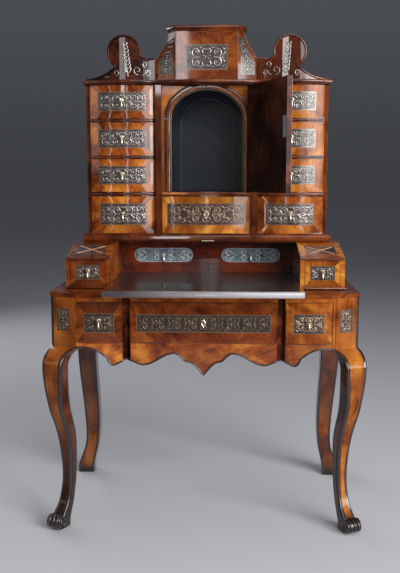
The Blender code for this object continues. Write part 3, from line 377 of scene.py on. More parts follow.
def pick(*pieces):
    bpy.ops.object.select_all(action="DESELECT")
    for piece in pieces:
        piece.select_set(True)
    bpy.context.view_layer.objects.active = pieces[0]


def addModifier(piece, kind, **values):
    modifier = piece.modifiers.new(kind.lower(), kind)
    for key, value in values.items():
        setattr(modifier, key, value)
    pick(piece)
    bpy.ops.object.modifier_apply(modifier=modifier.name)


def thicken(piece, thickness):
    addModifier(piece, "SOLIDIFY", thickness=thickness, offset=-1)


def smooth(piece, angle):
    pick(piece)
    bpy.ops.object.shade_smooth_by_angle(angle=math.radians(angle))


def paint(piece, finish):
    piece.data.materials.clear()
    piece.data.materials.append(finishes[finish])


def openMesh(piece, chosen=None):
    # edit mode with every face selected, or only the faces that pass the test
    pick(piece)
    bpy.ops.object.mode_set(mode="EDIT")
    bpy.ops.mesh.select_all(action="DESELECT" if chosen else "SELECT")
    if chosen:
        bpy.ops.object.mode_set(mode="OBJECT")
        for face in piece.data.polygons:
            face.select = chosen(face)
        bpy.ops.object.mode_set(mode="EDIT")


def facesFront(face):
    return face.normal.y < -square


def closeMesh():
    bpy.ops.object.mode_set(mode="OBJECT")


def mendNormals(piece, merge=0.0):
    openMesh(piece)
    if merge > 0:
        bpy.ops.mesh.remove_doubles(threshold=merge)
    bpy.ops.mesh.normals_make_consistent(inside=False)
    closeMesh()


def applyPlace(piece):
    pick(piece)
    bpy.ops.object.transform_apply(location=True, rotation=True, scale=True)


def addBlock(middle, size, bevel=0.0):
    bpy.ops.mesh.primitive_cube_add(size=1, location=middle, scale=size)
    block = bpy.context.object
    applyPlace(block)
    if bevel > 0:
        addModifier(block, "BEVEL", width=bevel, segments=2)
    return block


def joinPieces(pieces):
    pick(*pieces)
    if len(pieces) > 1:
        bpy.ops.object.join()
    return bpy.context.object


def settle(piece, name, body):
    applyPlace(piece)
    piece.name = name
    piece.data.name = name
    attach(piece, body)
    return piece


def bodyOf(node):
    return nodes[node]["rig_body"]


def spread(low, high, steps):
    return [low + (high - low) * step / steps for step in range(steps + 1)]


def nodeRim(node):
    low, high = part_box(node)
    return (low[0], low[2], high[0], high[2])


def grow(box, margin):
    return (box[0] - margin, box[1] - margin, box[2] + margin, box[3] + margin)


def flipBox(box, side):
    return box if side > 0 else (-box[2], box[1], -box[0], box[3])


def boxCorners(box):
    x0, z0, x1, z1 = box
    return [(x0, z0), (x1, z0), (x1, z1), (x0, z1)]


def addPatch(corners, proud, finish, bars=1, rows=1):
    # corners run round the patch as (x, z) from the lower left, seen from the front
    bpy.ops.mesh.primitive_grid_add(x_subdivisions=bars, y_subdivisions=rows, size=1)
    patch = bpy.context.object
    (x0, z0), (x1, z1), (x2, z2), (x3, z3) = corners
    for vertex in patch.data.vertices:
        u = vertex.co.x + 0.5
        v = vertex.co.y + 0.5
        low = Vector((x0 + (x1 - x0) * u, z0 + (z1 - z0) * u))
        high = Vector((x3 + (x2 - x3) * u, z3 + (z2 - z3) * u))
        spot = low + (high - low) * v
        vertex.co = (spot.x, -proud, spot.y)
    paint(patch, finish)
    return patch


def bendTo(piece, planFn):
    for vertex in piece.data.vertices:
        vertex.co.y += planFn(vertex.co.x)


def sweep(name, runs, thickness, facets, finish, closed=False):
    # round rods along runs of points (x, y, z, share of the thickness), made a mesh
    curve = bpy.data.curves.new(name, "CURVE")
    curve.dimensions = "3D"
    curve.bevel_depth = thickness
    curve.bevel_resolution = facets
    curve.use_fill_caps = True
    for run in runs:
        spline = curve.splines.new("POLY")
        spline.points.add(len(run) - 1)
        spline.use_cyclic_u = closed
        for point, (x, y, z, share) in zip(spline.points, run):
            point.co = (x, y, z, 1)
            point.radius = share
    piece = bpy.data.objects.new(name, curve)
    bpy.context.scene.collection.objects.link(piece)
    pick(piece)
    bpy.ops.object.convert(target="MESH")
    piece = bpy.context.object
    paint(piece, finish)
    return piece


beads = {"smooth": 50}


def makeBead(name, points, radius, finish, body, closed=False, facets=2):
    piece = sweep(name, [[(*spot, 1) for spot in points]], radius, facets, finish, closed)
    smooth(piece, beads["smooth"])
    return settle(piece, name, body)


# pale scrollwork, drawn in half heights of its panel and mirrored about both middles
scrollwork = {"flatten": 0.20, "cellLength": 1.45, "margin": 0.08, "bold": 0.86, "first": 0.06, "clip": 0.98,
              "leafTip": 0.15, "leafSpan": (0.12, 0.86), "leafSwell": 0.8, "facets": 1}


def spiral(centre, radii, turns, widths, steps=16):
    stroke = []
    for share in spread(0, 1, steps):
        turn = math.radians(turns[0] + (turns[1] - turns[0]) * share)
        radius = radii[0] + (radii[1] - radii[0]) * share
        half = widths[0] + (widths[1] - widths[0]) * share
        stroke.append((centre[0] + radius * math.cos(turn), centre[1] + radius * math.sin(turn), half))
    return stroke


def leaf(root, heading, length, width, curl=0.0, steps=7):
    stroke = []
    spot = Vector(root)
    first, span = scrollwork["leafSpan"]
    for share in spread(0, 1, steps):
        swell = math.sin(math.pi * (first + span * share)) ** scrollwork["leafSwell"]
        stroke.append((spot.x, spot.y, width * max(scrollwork["leafTip"], swell)))
        turn = math.radians(heading + curl * share)
        spot = spot + Vector((math.cos(turn), math.sin(turn))) * (length / steps)
    return stroke


def dot(x, z, radius, half):
    return [(x - half, z, radius), (x + half, z, radius)]


def scrollCell(start, length):
    # one quarter of a scroll unit: upper half only, from start outwards
    def along(share):
        return start + share * length
    return [
        spiral((along(0.52), 0.46), (0.50, 0.17), (-125, 265), (0.125, 0.085)),
        spiral((along(0.52), 0.46), (0.11, 0.03), (0, 320), (0.09, 0.08), 8),
        spiral((along(0.05), 0.62), (0.30, 0.13), (-70, 150), (0.105, 0.075), 12),
        leaf((along(0.00), 0.02), 42, 0.46, 0.115, -60),
        leaf((along(0.20), 0.88), -12, 0.40, 0.085, 30),
        leaf((along(0.80), 0.22), 20, 0.46, 0.115, 70),
        leaf((along(0.78), 0.90), -25, 0.44, 0.100, -30),
        leaf((along(0.66), 0.03), 4, 0.50, 0.085, 10),
    ]


def layScrollwork(width, height, upright=False, cellLength=scrollwork["cellLength"]):
    along, across = (height, width) if upright else (width, height)
    unit = across / 2 * (1 - scrollwork["margin"])
    reach = (along - scrollwork["margin"] * across) / 2 / unit
    cells = max(1, round(reach / cellLength))
    first = scrollwork["first"]
    quarter = []
    for cell in range(cells):
        quarter += scrollCell(first + (reach - first) * cell / cells, (reach - first) / cells)
    bold = scrollwork["bold"] * unit
    strokes = []
    for sideways in (1, -1):
        for upwards in (1, -1):
            for stroke in quarter:
                run = [(sideways * u * unit, upwards * min(v, scrollwork["clip"]) * unit, half * bold)
                       for u, v, half in stroke]
                strokes.append([(v, u, half) for u, v, half in run] if upright else run)
    return strokes


def clearOf(strokes, spots):
    # leave out the strokes whose middle lies in one of the round spots (u, v, radius)
    kept = []
    for stroke in strokes:
        u, v, half = stroke[len(stroke) // 2]
        if all(math.hypot(u - x, v - z) > radius for x, z, radius in spots):
            kept.append(stroke)
    return kept


def layOrnament(strokes, middle, proud, finish="paleInlay"):
    # strokes as rods of their own half widths, flattened and laid on the panel
    runs = [[(u, 0, v, half) for u, v, half in stroke] for stroke in strokes]
    piece = sweep("strokes", runs, 1.0, scrollwork["facets"], finish)
    for vertex in piece.data.vertices:
        vertex.co.y = vertex.co.y * scrollwork["flatten"] - proud
        vertex.co.x += middle[0]
        vertex.co.z += middle[1]
    return piece


def ringPatches(outer, inner, proud, finishPair, bars, rows=1):
    # four mitred strips between two boxes (x0, z0, x1, z1): across strips first, then the uprights
    across, upright = finishPair
    outerFoot, outerEnd, outerHead, outerStart = boxCorners(outer)
    innerFoot, innerEnd, innerHead, innerStart = boxCorners(inner)
    few = max(1, bars // 3)
    return [
        addPatch([outerFoot, outerEnd, innerEnd, innerFoot], proud, across, bars),
        addPatch([innerStart, innerHead, outerHead, outerStart], proud, across, bars),
        addPatch([outerFoot, innerFoot, innerStart, outerStart], proud, upright, few, rows),
        addPatch([innerEnd, outerEnd, outerHead, innerHead], proud, upright, few, rows),
    ]


# veneered fronts: how proud each layer lies of the solid, and the fine lines
front = {"veneer": 0.0011, "ground": 0.0009, "string": 0.0013, "sheet": 0.0016, "line": 0.0007,
         "lineInset": 0.0022, "stringOut": 0.0008, "stringIn": 0.0005, "smooth": 25}
plainBands = ("walnutUpright", "walnutAcross")


def makeSheet(outer, panel, bars, bands, field, lines=True, rows=1, string="stringing"):
    # mitred banding round a field, with a fine string between them and a pale line inside
    pieces = ringPatches(outer, panel, front["veneer"], bands, bars, rows)
    pieces.append(addPatch(boxCorners(panel), front["ground"], field, bars, rows))
    pieces += ringPatches(grow(panel, front["stringOut"]), grow(panel, -front["stringIn"]), front["string"],
                          (string, string), bars, rows)
    if lines:
        lineOuter = grow(panel, -front["lineInset"])
        lineInner = grow(lineOuter, -front["line"])
        pieces += ringPatches(lineOuter, lineInner, front["string"], ("paleInlay", "paleInlay"), bars, rows)
    sheet = joinPieces(pieces)
    thicken(sheet, front["sheet"])
    smooth(sheet, front["smooth"])
    return sheet


def makeFront(name, outer, panel, planFn, body, bars=16, bands=plainBands, field="inlayGround",
              ink="paleInlay", gaps=(), extras=(), cellLength=scrollwork["cellLength"],
              place=(0, 0, 0), turn=(0, 0, 0)):
    x0, z0, x1, z1 = panel
    width = x1 - x0
    height = z1 - z0
    pieces = [makeSheet(outer, panel, bars, bands, field)]
    inset = 2 * front["lineInset"]
    scrolls = clearOf(layScrollwork(width - inset, height - inset, height > width, cellLength), gaps)
    for finish, strokes in ((ink, scrolls), *extras):
        pieces.append(layOrnament(strokes, ((x0 + x1) / 2, (z0 + z1) / 2), front["ground"], finish))
    whole = joinPieces(pieces)
    bendTo(whole, planFn)
    whole.location = place
    whole.rotation_euler = turn
    return settle(whole, name, body)


def makeField(name, outer, panel, body, field="walnutAcross", bars=4, place=(0, 0, 0), turn=(0, 0, 0),
              bands=plainBands, string="stringing"):
    sheet = makeSheet(outer, panel, bars, bands, field, lines=False, string=string)
    sheet.location = place
    sheet.rotation_euler = turn
    return settle(sheet, name, body)


# the drawer fronts of the cabinet: how far the dark panel lies inside each front, at its sides, foot and head
bankPanels = {"side": 0.030, "foot": (0.026, 0.023), "rowSide": 0.033, "rowFoot": (0.029, 0.024),
              "middleSide": 0.018, "middleCell": 1.9, "medallion": (0.031, 0.0105), "ring": (0.078, 0.0165),
              "ringStroke": 0.0022, "ringSteps": 24, "heart": 0.55, "heartHalf": 0.0004, "gap": 0.002,
              "shield": (0.0085, 0.0155)}
bankBands = {"left": plainBands, "right": ("legRight", "legRight")}
rowBands = ("goldUpright", "goldAcross")
rowGround = {"left": "inlayGround", "right": "redGround"}


def insetPanel(rim, side, feet):
    x0, z0, x1, z1 = rim
    low, high = feet
    return (x0 + side, z0 + low, x1 - side, z1 - high)


def makeCabinetFronts():
    for side in ("left", "right"):
        for tier in (1, 2, 3):
            node = f"drawer_bank_{side}_{tier}"
            rim = nodeRim(node)
            panel = insetPanel(rim, bankPanels["side"], bankPanels["foot"])
            makeFront(node.replace("drawer", "front"), rim, panel, bankY, bodyOf(node), bands=bankBands[side])
        node = f"drawer_row_{side}"
        rim = nodeRim(node)
        panel = insetPanel(rim, bankPanels["rowSide"], bankPanels["rowFoot"])
        makeFront(node.replace("drawer", "front"), rim, panel, bankY, bodyOf(node), field=rowGround[side])
    makeRowMiddle()


def makeRowMiddle():
    rim = nodeRim("drawer_row_middle")
    panel = insetPanel(rim, bankPanels["middleSide"], bankPanels["rowFoot"])
    stroke = bankPanels["ringStroke"]
    rings = []
    hearts = []
    gaps = [(0, 0, bankPanels["shield"][1])]
    for side in (-1, 1):
        for x, radius in (bankPanels["medallion"], bankPanels["ring"]):
            rings.append(spiral((side * x, 0), (radius, radius), (0, 360), (stroke, stroke),
                                bankPanels["ringSteps"]))
            hearts.append(dot(side * x, 0, bankPanels["heart"] * radius, bankPanels["heartHalf"]))
            gaps.append((side * x, 0, radius + bankPanels["gap"]))
    body = bodyOf("drawer_row_middle")
    makeFront("front_row_middle", rim, panel, centreY, body, bands=rowBands, field="redGround",
              ink="warmInlay", gaps=gaps, cellLength=bankPanels["middleCell"],
              extras=(("warmInlay", rings), ("redMedallion", hearts)))
    makeEscutcheon("row_escutcheon", (0, (panel[1] + panel[3]) / 2), bankPanels["shield"], body, centreY)


# keyhole plates: a lobed shield with a raised rim, narrower at its foot, and a keyhole
keyPlate = {"corners": 32, "lobe": 0.09, "taper": 0.30, "rim": (0.0012, 0.0007), "dish": (0.0010, -0.0006),
            "thick": 0.0012, "lift": 0.0004, "bow": (0.28, 0.0019), "bowHalf": 0.0002,
            "slit": (0.26, -0.25), "slitHalf": (0.0009, 0.0012), "keyLift": 0.0006}


def makeEscutcheon(name, spot, half, body, planFn):
    width, height = half
    bpy.ops.mesh.primitive_circle_add(vertices=keyPlate["corners"], radius=1, fill_type="NGON",
                                      rotation=(math.pi / 2, 0, 0))
    plate = bpy.context.object
    applyPlace(plate)
    for vertex in plate.data.vertices:
        u, y, v = vertex.co
        lobe = 1 + keyPlate["lobe"] * math.cos(4 * math.atan2(v, u))
        vertex.co = (u * width * lobe * (1 - keyPlate["taper"] * max(0.0, -v)), 0, v * height * lobe)
    openMesh(plate)
    for thickness, depth in (keyPlate["rim"], keyPlate["dish"]):
        bpy.ops.mesh.inset(thickness=thickness, depth=depth)
    closeMesh()
    thicken(plate, keyPlate["thick"])
    paint(plate, "brass")
    for vertex in plate.data.vertices:
        vertex.co += Vector((spot[0], -front["string"] - keyPlate["lift"], spot[1]))
    bowRise, bowRadius = keyPlate["bow"]
    bow = dot(0, bowRise * height, bowRadius, keyPlate["bowHalf"])
    slit = [(0, rise * height, wide) for rise, wide in zip(keyPlate["slit"], keyPlate["slitHalf"])]
    keyhole = layOrnament([bow, slit], spot, front["string"] + keyPlate["keyLift"], "ebony")
    whole = joinPieces([plate, keyhole])
    bendTo(whole, planFn)
    return settle(whole, name, body)


makeCabinetFronts()
print("cabinet fronts made")


# the stand: frieze drawers, corner posts, apron, channels and side rails
stand = {
    "middlePanel": (-0.211, 0.645, 0.211, 0.700), "middleCell": 2.0,
    "sidePanel": (0.283, 0.643, 0.377, 0.704),
    "postRim": (-0.0372, 0.5965, 0.0372, 0.7515), "postPanel": (-0.024, 0.644, 0.024, 0.715),
    "keySpot": (0, 0.6725), "keyPlate": (0.0070, 0.0125), "keyGap": 0.002,
    "apronBead": 0.0030, "apronSeat": (0.0008, 0.0022), "apronTop": 0.6, "facing": 0.001,
    "grooveBead": 0.0016, "grooveSeat": (0.0004, 0.0030), "grooveSteps": 12,
    "channelProud": 0.0007, "channelLap": 0.001, "channelFoot": 0.004, "channelThick": 0.0012,
    "channelBars": 10, "friezeBars": 12, "postBars": 3,
    "railMargin": (0.006, 0.022),
}
friezeBands = ("friezeUpright", "friezeAcross")
# Painted light and shade: the left side takes darker bands, ground and inlay and the right side lighter ones,
# as the light falls from the right. The tills and their lids use these bands too.
sideLitShadeBands = {"left": ("walnutDeep", "friezeAcross"), "right": ("legRight", "goldAcross")}
postBands = ("legLeft", "legLeft")
sideLitShadeInk = {"left": "dimInlay", "right": "warmInlay"}
sideLitShadeGround = {"left": "brownGround", "right": "inlayGround"}


def makeFrieze():
    node = "drawer_frieze_middle"
    # The middle front's dark ground and dimmed inlay are painted shade of the flap above.
    makeFront("front_frieze_middle", nodeRim(node), stand["middlePanel"], friezeY, bodyOf(node),
              bars=stand["friezeBars"], bands=friezeBands, field="brownGround", ink="dimInlay",
              cellLength=stand["middleCell"],
              gaps=[(0, 0, stand["keyPlate"][1] + stand["keyGap"])])
    makeEscutcheon("frieze_escutcheon", stand["keySpot"], stand["keyPlate"], bodyOf(node), friezeY)
    for name, side in sides:
        node = "drawer_frieze_" + name
        makeFront("front_frieze_" + name, nodeRim(node), flipBox(stand["sidePanel"], side), friezeY,
                  bodyOf(node), bars=stand["friezeBars"], bands=sideLitShadeBands[name], field=sideLitShadeGround[name],
                  ink=sideLitShadeInk[name])
        makeFront("post_panel_" + name, stand["postRim"], stand["postPanel"], flatAt(0), "case",
                  bars=stand["postBars"], bands=postBands, field=sideLitShadeGround[name], ink="warmInlay",
                  place=(side * plan["postX"], plan["postY"], 0), turn=(0, 0, side * plan["postTurn"]))


def apronOutline():
    # lower front edge of the face frame, read from its solid
    spots = {}
    for vertex in nodes["front_frame"].data.vertices:
        x, y, z = vertex.co
        if abs(y - friezeY(x)) < stand["facing"]:
            key = round(x, 4)
            spots[key] = min(z, spots.get(key, z))
    return [(x, friezeY(x), spots[x]) for x in sorted(spots) if spots[x] < stand["apronTop"]]


def makeStandTrim():
    outline = apronOutline()
    forward, rise = stand["apronSeat"]
    edge = [(x, y - forward, z + rise) for x, y, z in outline]
    makeBead("apron_bead", edge, stand["apronBead"], "ebony", "case")
    sunk, drop = stand["grooveSeat"]
    for name in ("left", "middle", "right"):
        x0, z0, x1, z1 = nodeRim("drawer_frieze_" + name)
        line = [(x, friezeY(x) + sunk, z0 - drop) for x in spread(x0, x1, stand["grooveSteps"])]
        makeBead("frieze_groove_" + name, line, stand["grooveBead"], "walnutDeep", "case")
    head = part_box("front_frame")[1][2] - stand["channelLap"]
    half = plan["channelHalf"] + stand["channelLap"]
    for name, side in sides:
        heart = side * plan["channelX"]
        foot = min(outline, key=lambda spot: abs(spot[0] - heart))[2] + stand["channelFoot"]
        # Painted shade: a near-black strip laid in each channel for the shade of the hollow.
        strip = addPatch(boxCorners((heart - half, foot, heart + half, head)), stand["channelProud"],
                         "scrollWood", stand["channelBars"])
        thicken(strip, stand["channelThick"])
        bendTo(strip, friezeY)
        smooth(strip, front["smooth"])
        settle(strip, "channel_" + name, "case")
        low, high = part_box("side_rail_" + name)
        edge, inset = stand["railMargin"]
        rim = flipBox((-high[1] + edge, low[2] + edge, -low[1] - edge, high[2] - edge), -side)
        makeField("rail_veneer_" + name, rim, grow(rim, -inset), "case", field="friezeAcross", bars=2,
                  bands=friezeBands, place=(side * max(abs(low[0]), abs(high[0])), 0, 0),
                  turn=(0, 0, side * math.pi / 2))


makeFrieze()
makeStandTrim()
print("stand dressed")


# tills, interior drawers and flap
writing = {
    "tillFaceY": -0.118, "tillPanel": (0.343, 0.798, 0.421, 0.8435), "tillSet": 0.0128, "tillGap": 0.0012,
    "cockbead": 0.0015, "lip": 0.0034, "lipDrop": 0.6,
    "plinth": 0.0046, "plinthEnd": 0.050, "plinthOut": 0.0005,
    "cheekBead": 0.0042, "cheekSunk": 0.0003, "cheekForward": 0.008, "cheekRise": (0.788, 0.903),
    "interiorY": 0.18, "interiorBorder": 0.016,
    "faceBorder": 0.016, "faceFoot": 0.004, "faceSide": 0.0005, "flapNose": 0.0125, "flapHeel": 0.004,
    "faceSink": 0.0004, "underBorder": 0.034, "underSide": 0.001, "underNose": 0.003, "underSink": 0.0006,
    "strike": 0.0030, "strikeX": (-0.016, 0.028), "strikeSeat": (0.0008, 0.0045),
}


def makeTills():
    gap = writing["tillGap"]
    for name, side in sides:
        drawer = "drawer_till_" + name
        rim = nodeRim(drawer)
        faceFn = flatAt(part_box(drawer)[0][1] + writing["tillSet"])
        makeFront("front_till_" + name, rim, flipBox(writing["tillPanel"], side), faceFn, bodyOf(drawer),
                  bars=4, bands=sideLitShadeBands[name])
        low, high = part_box("till_case_" + name)
        x0, z0, x1, z1 = rim
        outer = (low[0], low[2], high[0], lid["foot"][1])
        inner = (x0 - gap, z0, x1 + gap, z1 + gap)
        face = joinPieces(ringPatches(outer, inner, front["veneer"], sideLitShadeBands[name], 4))
        thicken(face, front["sheet"])
        bendTo(face, flatAt(writing["tillFaceY"]))
        settle(face, "till_face_" + name, "case")
        makeLid(name, low[0], high[0])
        makeTillBeads(name, side, rim, low, high)


def makeTillBeads(name, side, rim, low, high):
    faceY = writing["tillFaceY"] - front["veneer"]
    loop = [(x, faceY, z) for x, z in boxCorners(grow(rim, -writing["cockbead"]))]
    makeBead("till_cockbead_" + name, loop, writing["cockbead"], "walnutDeep", bodyOf("drawer_till_" + name),
             closed=True)
    level = lid["foot"][1] - writing["lip"] * writing["lipDrop"]
    lip = [(low[0], faceY, level), (high[0], faceY, level)]
    makeBead("till_lip_" + name, lip, writing["lip"], "walnutDeep", "case")
    out = writing["plinthOut"]
    outer = side * (max(abs(low[0]), abs(high[0])) + out)
    inner = side * (min(abs(low[0]), abs(high[0])) - out)
    foot = low[2] + writing["plinth"]
    run = [(outer, writing["plinthEnd"], foot), (outer, faceY - out, foot), (inner, faceY - out, foot)]
    makeBead("till_plinth_" + name, run, writing["plinth"], "walnutDeep", "case")
    # Painted reflection: a pale bead down each till's inner cheek, for the sheen on the cheek's face.
    cheekX = inner + side * (writing["cheekBead"] - writing["cheekSunk"])
    post = [(cheekX, writing["interiorY"] - writing["cheekForward"], z) for z in writing["cheekRise"]]
    makeBead("cheek_bead_" + name, post, writing["cheekBead"], "flapEdge", "case")


# sloping till lids, foot and head as (y, z), with crossed bands of pale and red inlay
lid = {"foot": (-0.118, 0.8683), "head": (0.0475, 0.9047), "border": (0.022, 0.040), "stroke": 0.0026,
       "crossInset": (0.008, 0.007), "redApart": (-2.4, 2.4), "redShare": 0.7}


def makeLid(name, x0, x1):
    footY, footZ = lid["foot"]
    run = lid["head"][0] - footY
    rise = lid["head"][1] - footZ
    length = math.hypot(run, rise)
    half = (x1 - x0) / 2
    aside, ahead = lid["border"]
    panel = (-half + aside, ahead, half - aside, length - ahead)
    sheet = makeSheet((-half, 0, half, length), panel, 4, sideLitShadeBands[name], "inlayGround")
    ink = lid["stroke"]
    red = ink * lid["redShare"]
    u = half - aside - lid["crossInset"][0]
    v = length / 2 - ahead - lid["crossInset"][1]
    paleBands = []
    redBands = []
    for tilt in (1, -1):
        paleBands.append([(-u * tilt, -v, ink), (u * tilt, v, ink)])
        for apart in lid["redApart"]:
            redBands.append([(-u * tilt + apart * ink, -v, red), (u * tilt + apart * ink, v, red)])
    pieces = [sheet]
    for finish, strokes in (("creamInlay", paleBands), ("redMedallion", redBands)):
        pieces.append(layOrnament(strokes, (0, length / 2), front["ground"], finish))
    whole = joinPieces(pieces)
    whole.location = ((x0 + x1) / 2, footY, footZ)
    whole.rotation_euler = (-math.atan2(run, rise), 0, 0)
    settle(whole, "till_lid_" + name, "case")


# painted capsules on the interior drawers; sizes of the painting are shares of the half length or half height
cartouche = {
    "size": (0.210, 0.050), "rise": 0.004, "proud": 0.0008, "paintLift": 0.0002,
    "thick": 0.0012, "border": 0.0022,
    "whorlAt": (0.22, 0.50, 0.76), "whorlRise": 0.44, "whorlRadii": (0.46, 0.14), "whorlWidths": (0.11, 0.07),
    "whorlTurns": (-120, 250), "whorlSteps": 12, "frondHeading": 30, "frondCurl": 60,
    "frondAside": 0.008, "frondRise": 0.12, "frondLength": 0.020, "frondWidth": 0.13,
    "eyeAt": (0.36, 0.64, 0.90), "eye": 0.15, "eyeHalf": 0.0012,
}


def capsule(width, height, steps=10):
    half = width / 2 - height / 2
    arc = [math.radians(turn) for turn in spread(-90, 90, steps)]
    right = [(half + height / 2 * math.cos(turn), height / 2 * math.sin(turn)) for turn in arc]
    return right + [(-u, -v) for u, v in right]


def makeCapsule():
    # blue ground with a white border
    outline = capsule(*cartouche["size"])
    bpy.ops.mesh.primitive_circle_add(vertices=len(outline), radius=1, fill_type="NGON")
    ground = bpy.context.object
    for vertex, (u, v) in zip(ground.data.vertices, outline):
        vertex.co = (u, 0, v)
    openMesh(ground)
    bpy.ops.mesh.inset(thickness=cartouche["border"], depth=0)
    closeMesh()
    paint(ground, "paintedBlue")
    ground.data.materials.append(finishes["paintedWhite"])
    for face in ground.data.polygons:
        face.material_index = 1 if len(face.vertices) == 4 else 0
    mendNormals(ground)
    if ground.data.polygons[0].normal.y > 0:
        openMesh(ground)
        bpy.ops.mesh.flip_normals()
        closeMesh()
    thicken(ground, cartouche["thick"])
    return ground


def capsulePainting():
    # pale scrolls mirrored about both middles, a few green leaves and dark eyes
    half = cartouche["size"][0] / 2
    unit = cartouche["size"][1] / 2
    radii = [share * unit for share in cartouche["whorlRadii"]]
    widths = [share * unit for share in cartouche["whorlWidths"]]
    white = []
    green = []
    dark = []
    for sideways in (1, -1):
        for upwards in (1, -1):
            for number, share in enumerate(cartouche["whorlAt"]):
                heart = (share * half, cartouche["whorlRise"] * unit)
                whorl = spiral(heart, radii, cartouche["whorlTurns"], widths, cartouche["whorlSteps"])
                root = (heart[0] + cartouche["frondAside"], cartouche["frondRise"] * unit)
                frond = leaf(root, cartouche["frondHeading"], cartouche["frondLength"],
                             cartouche["frondWidth"] * unit, cartouche["frondCurl"])
                pair = (frond, whorl) if number == 1 else (whorl, frond)  # the middle whorl is green
                for colour, stroke in zip((white, green), pair):
                    colour.append([(sideways * x, upwards * z, wide) for x, z, wide in stroke])
        for share in cartouche["eyeAt"]:
            dark.append(dot(sideways * share * half, 0, cartouche["eye"] * unit, cartouche["eyeHalf"]))
    return (("paintedWhite", white), ("paintedGreen", green), ("inlayGround", dark))


def makeInterior():
    red = "redInterior"
    proud = front["ground"] + cartouche["proud"]
    for name in ("left", "right"):
        node = "drawer_interior_" + name
        rim = nodeRim(node)
        x0, z0, x1, z1 = rim
        panel = grow(rim, -writing["interiorBorder"])
        sheet = makeSheet(rim, panel, 4, (red, red), red, lines=False, string=red)
        middle = ((x0 + x1) / 2, (z0 + z1) / 2 + cartouche["rise"])
        ground = makeCapsule()
        for vertex in ground.data.vertices:
            vertex.co += Vector((middle[0], -proud, middle[1]))
        pieces = [sheet, ground]
        for ink, strokes in capsulePainting():
            pieces.append(layOrnament(strokes, middle, proud + cartouche["paintLift"], ink))
        whole = joinPieces(pieces)
        bendTo(whole, flatAt(writing["interiorY"]))
        settle(whole, "front_interior_" + name, bodyOf(node))


def makeWritingFaces():
    # leather on the flap, edged with dark veneer
    low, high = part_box("flap")
    x0 = low[0] + writing["faceSide"]
    x1 = high[0] - writing["faceSide"]
    nose = low[1] + writing["flapNose"]
    heel = high[1] - writing["flapHeel"]
    panel = (x0 + writing["faceBorder"], nose + writing["faceFoot"], x1 - writing["faceBorder"], heel)
    makeField("flap_leather", (x0, nose, x1, heel), panel, bodyOf("flap"), field="leather", bars=2,
              bands=("walnutDeep", "walnutDeep"), string="ebony",
              place=(0, 0, high[2] - writing["faceSink"]), turn=(-math.pi / 2, 0, 0))
    edge = writing["underSide"]
    under = (low[0] + edge, edge - heel, high[0] - edge, -low[1] - writing["underNose"])
    makeField("flap_veneer", under, grow(under, -writing["underBorder"]), bodyOf("flap"), bars=2,
              place=(0, 0, low[2] + writing["underSink"]), turn=(math.pi / 2, 0, 0))
    low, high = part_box("cabinet_base")
    forward, rise = writing["strikeSeat"]
    strike = [(x, low[1] - forward, low[2] + rise) for x in writing["strikeX"]]
    makeBead("strike_plate", strike, writing["strike"], "brass", "case")


makeTills()
makeInterior()
makeWritingFaces()
print("writing section dressed")


# crest block
crest = {
    "frontY": 0.062, "half": 0.104, "cant": 0.040, "footHalf": 0.1765, "headHalf": 0.128, "shoulder": 0.045,
    "panel": (-0.0705, 1.486, 0.0705, 1.568), "sideWidth": 0.062, "sidePanel": (0.010, 0.018, 0.050, 0.138),
    "margin": (0.002, 0.003), "sideEnd": 0.001, "inkInset": 0.006, "bead": 0.0021, "beadOut": 0.0005,
    "beadFoot": 0.001, "capBead": 0.0042, "capOut": 0.004, "capRise": 0.003, "capBackY": 0.195,
    "frontBars": 4, "sideBars": 3, "sideRows": 12, "edgeSteps": 14,
}


def crestHalf(rise, height):
    if rise <= crest["shoulder"]:
        return crest["footHalf"]
    share = min(1.0, (rise - crest["shoulder"]) / (height - crest["shoulder"]))
    return crest["footHalf"] + (crest["headHalf"] - crest["footHalf"]) * (1 - math.cos(math.pi * share)) / 2


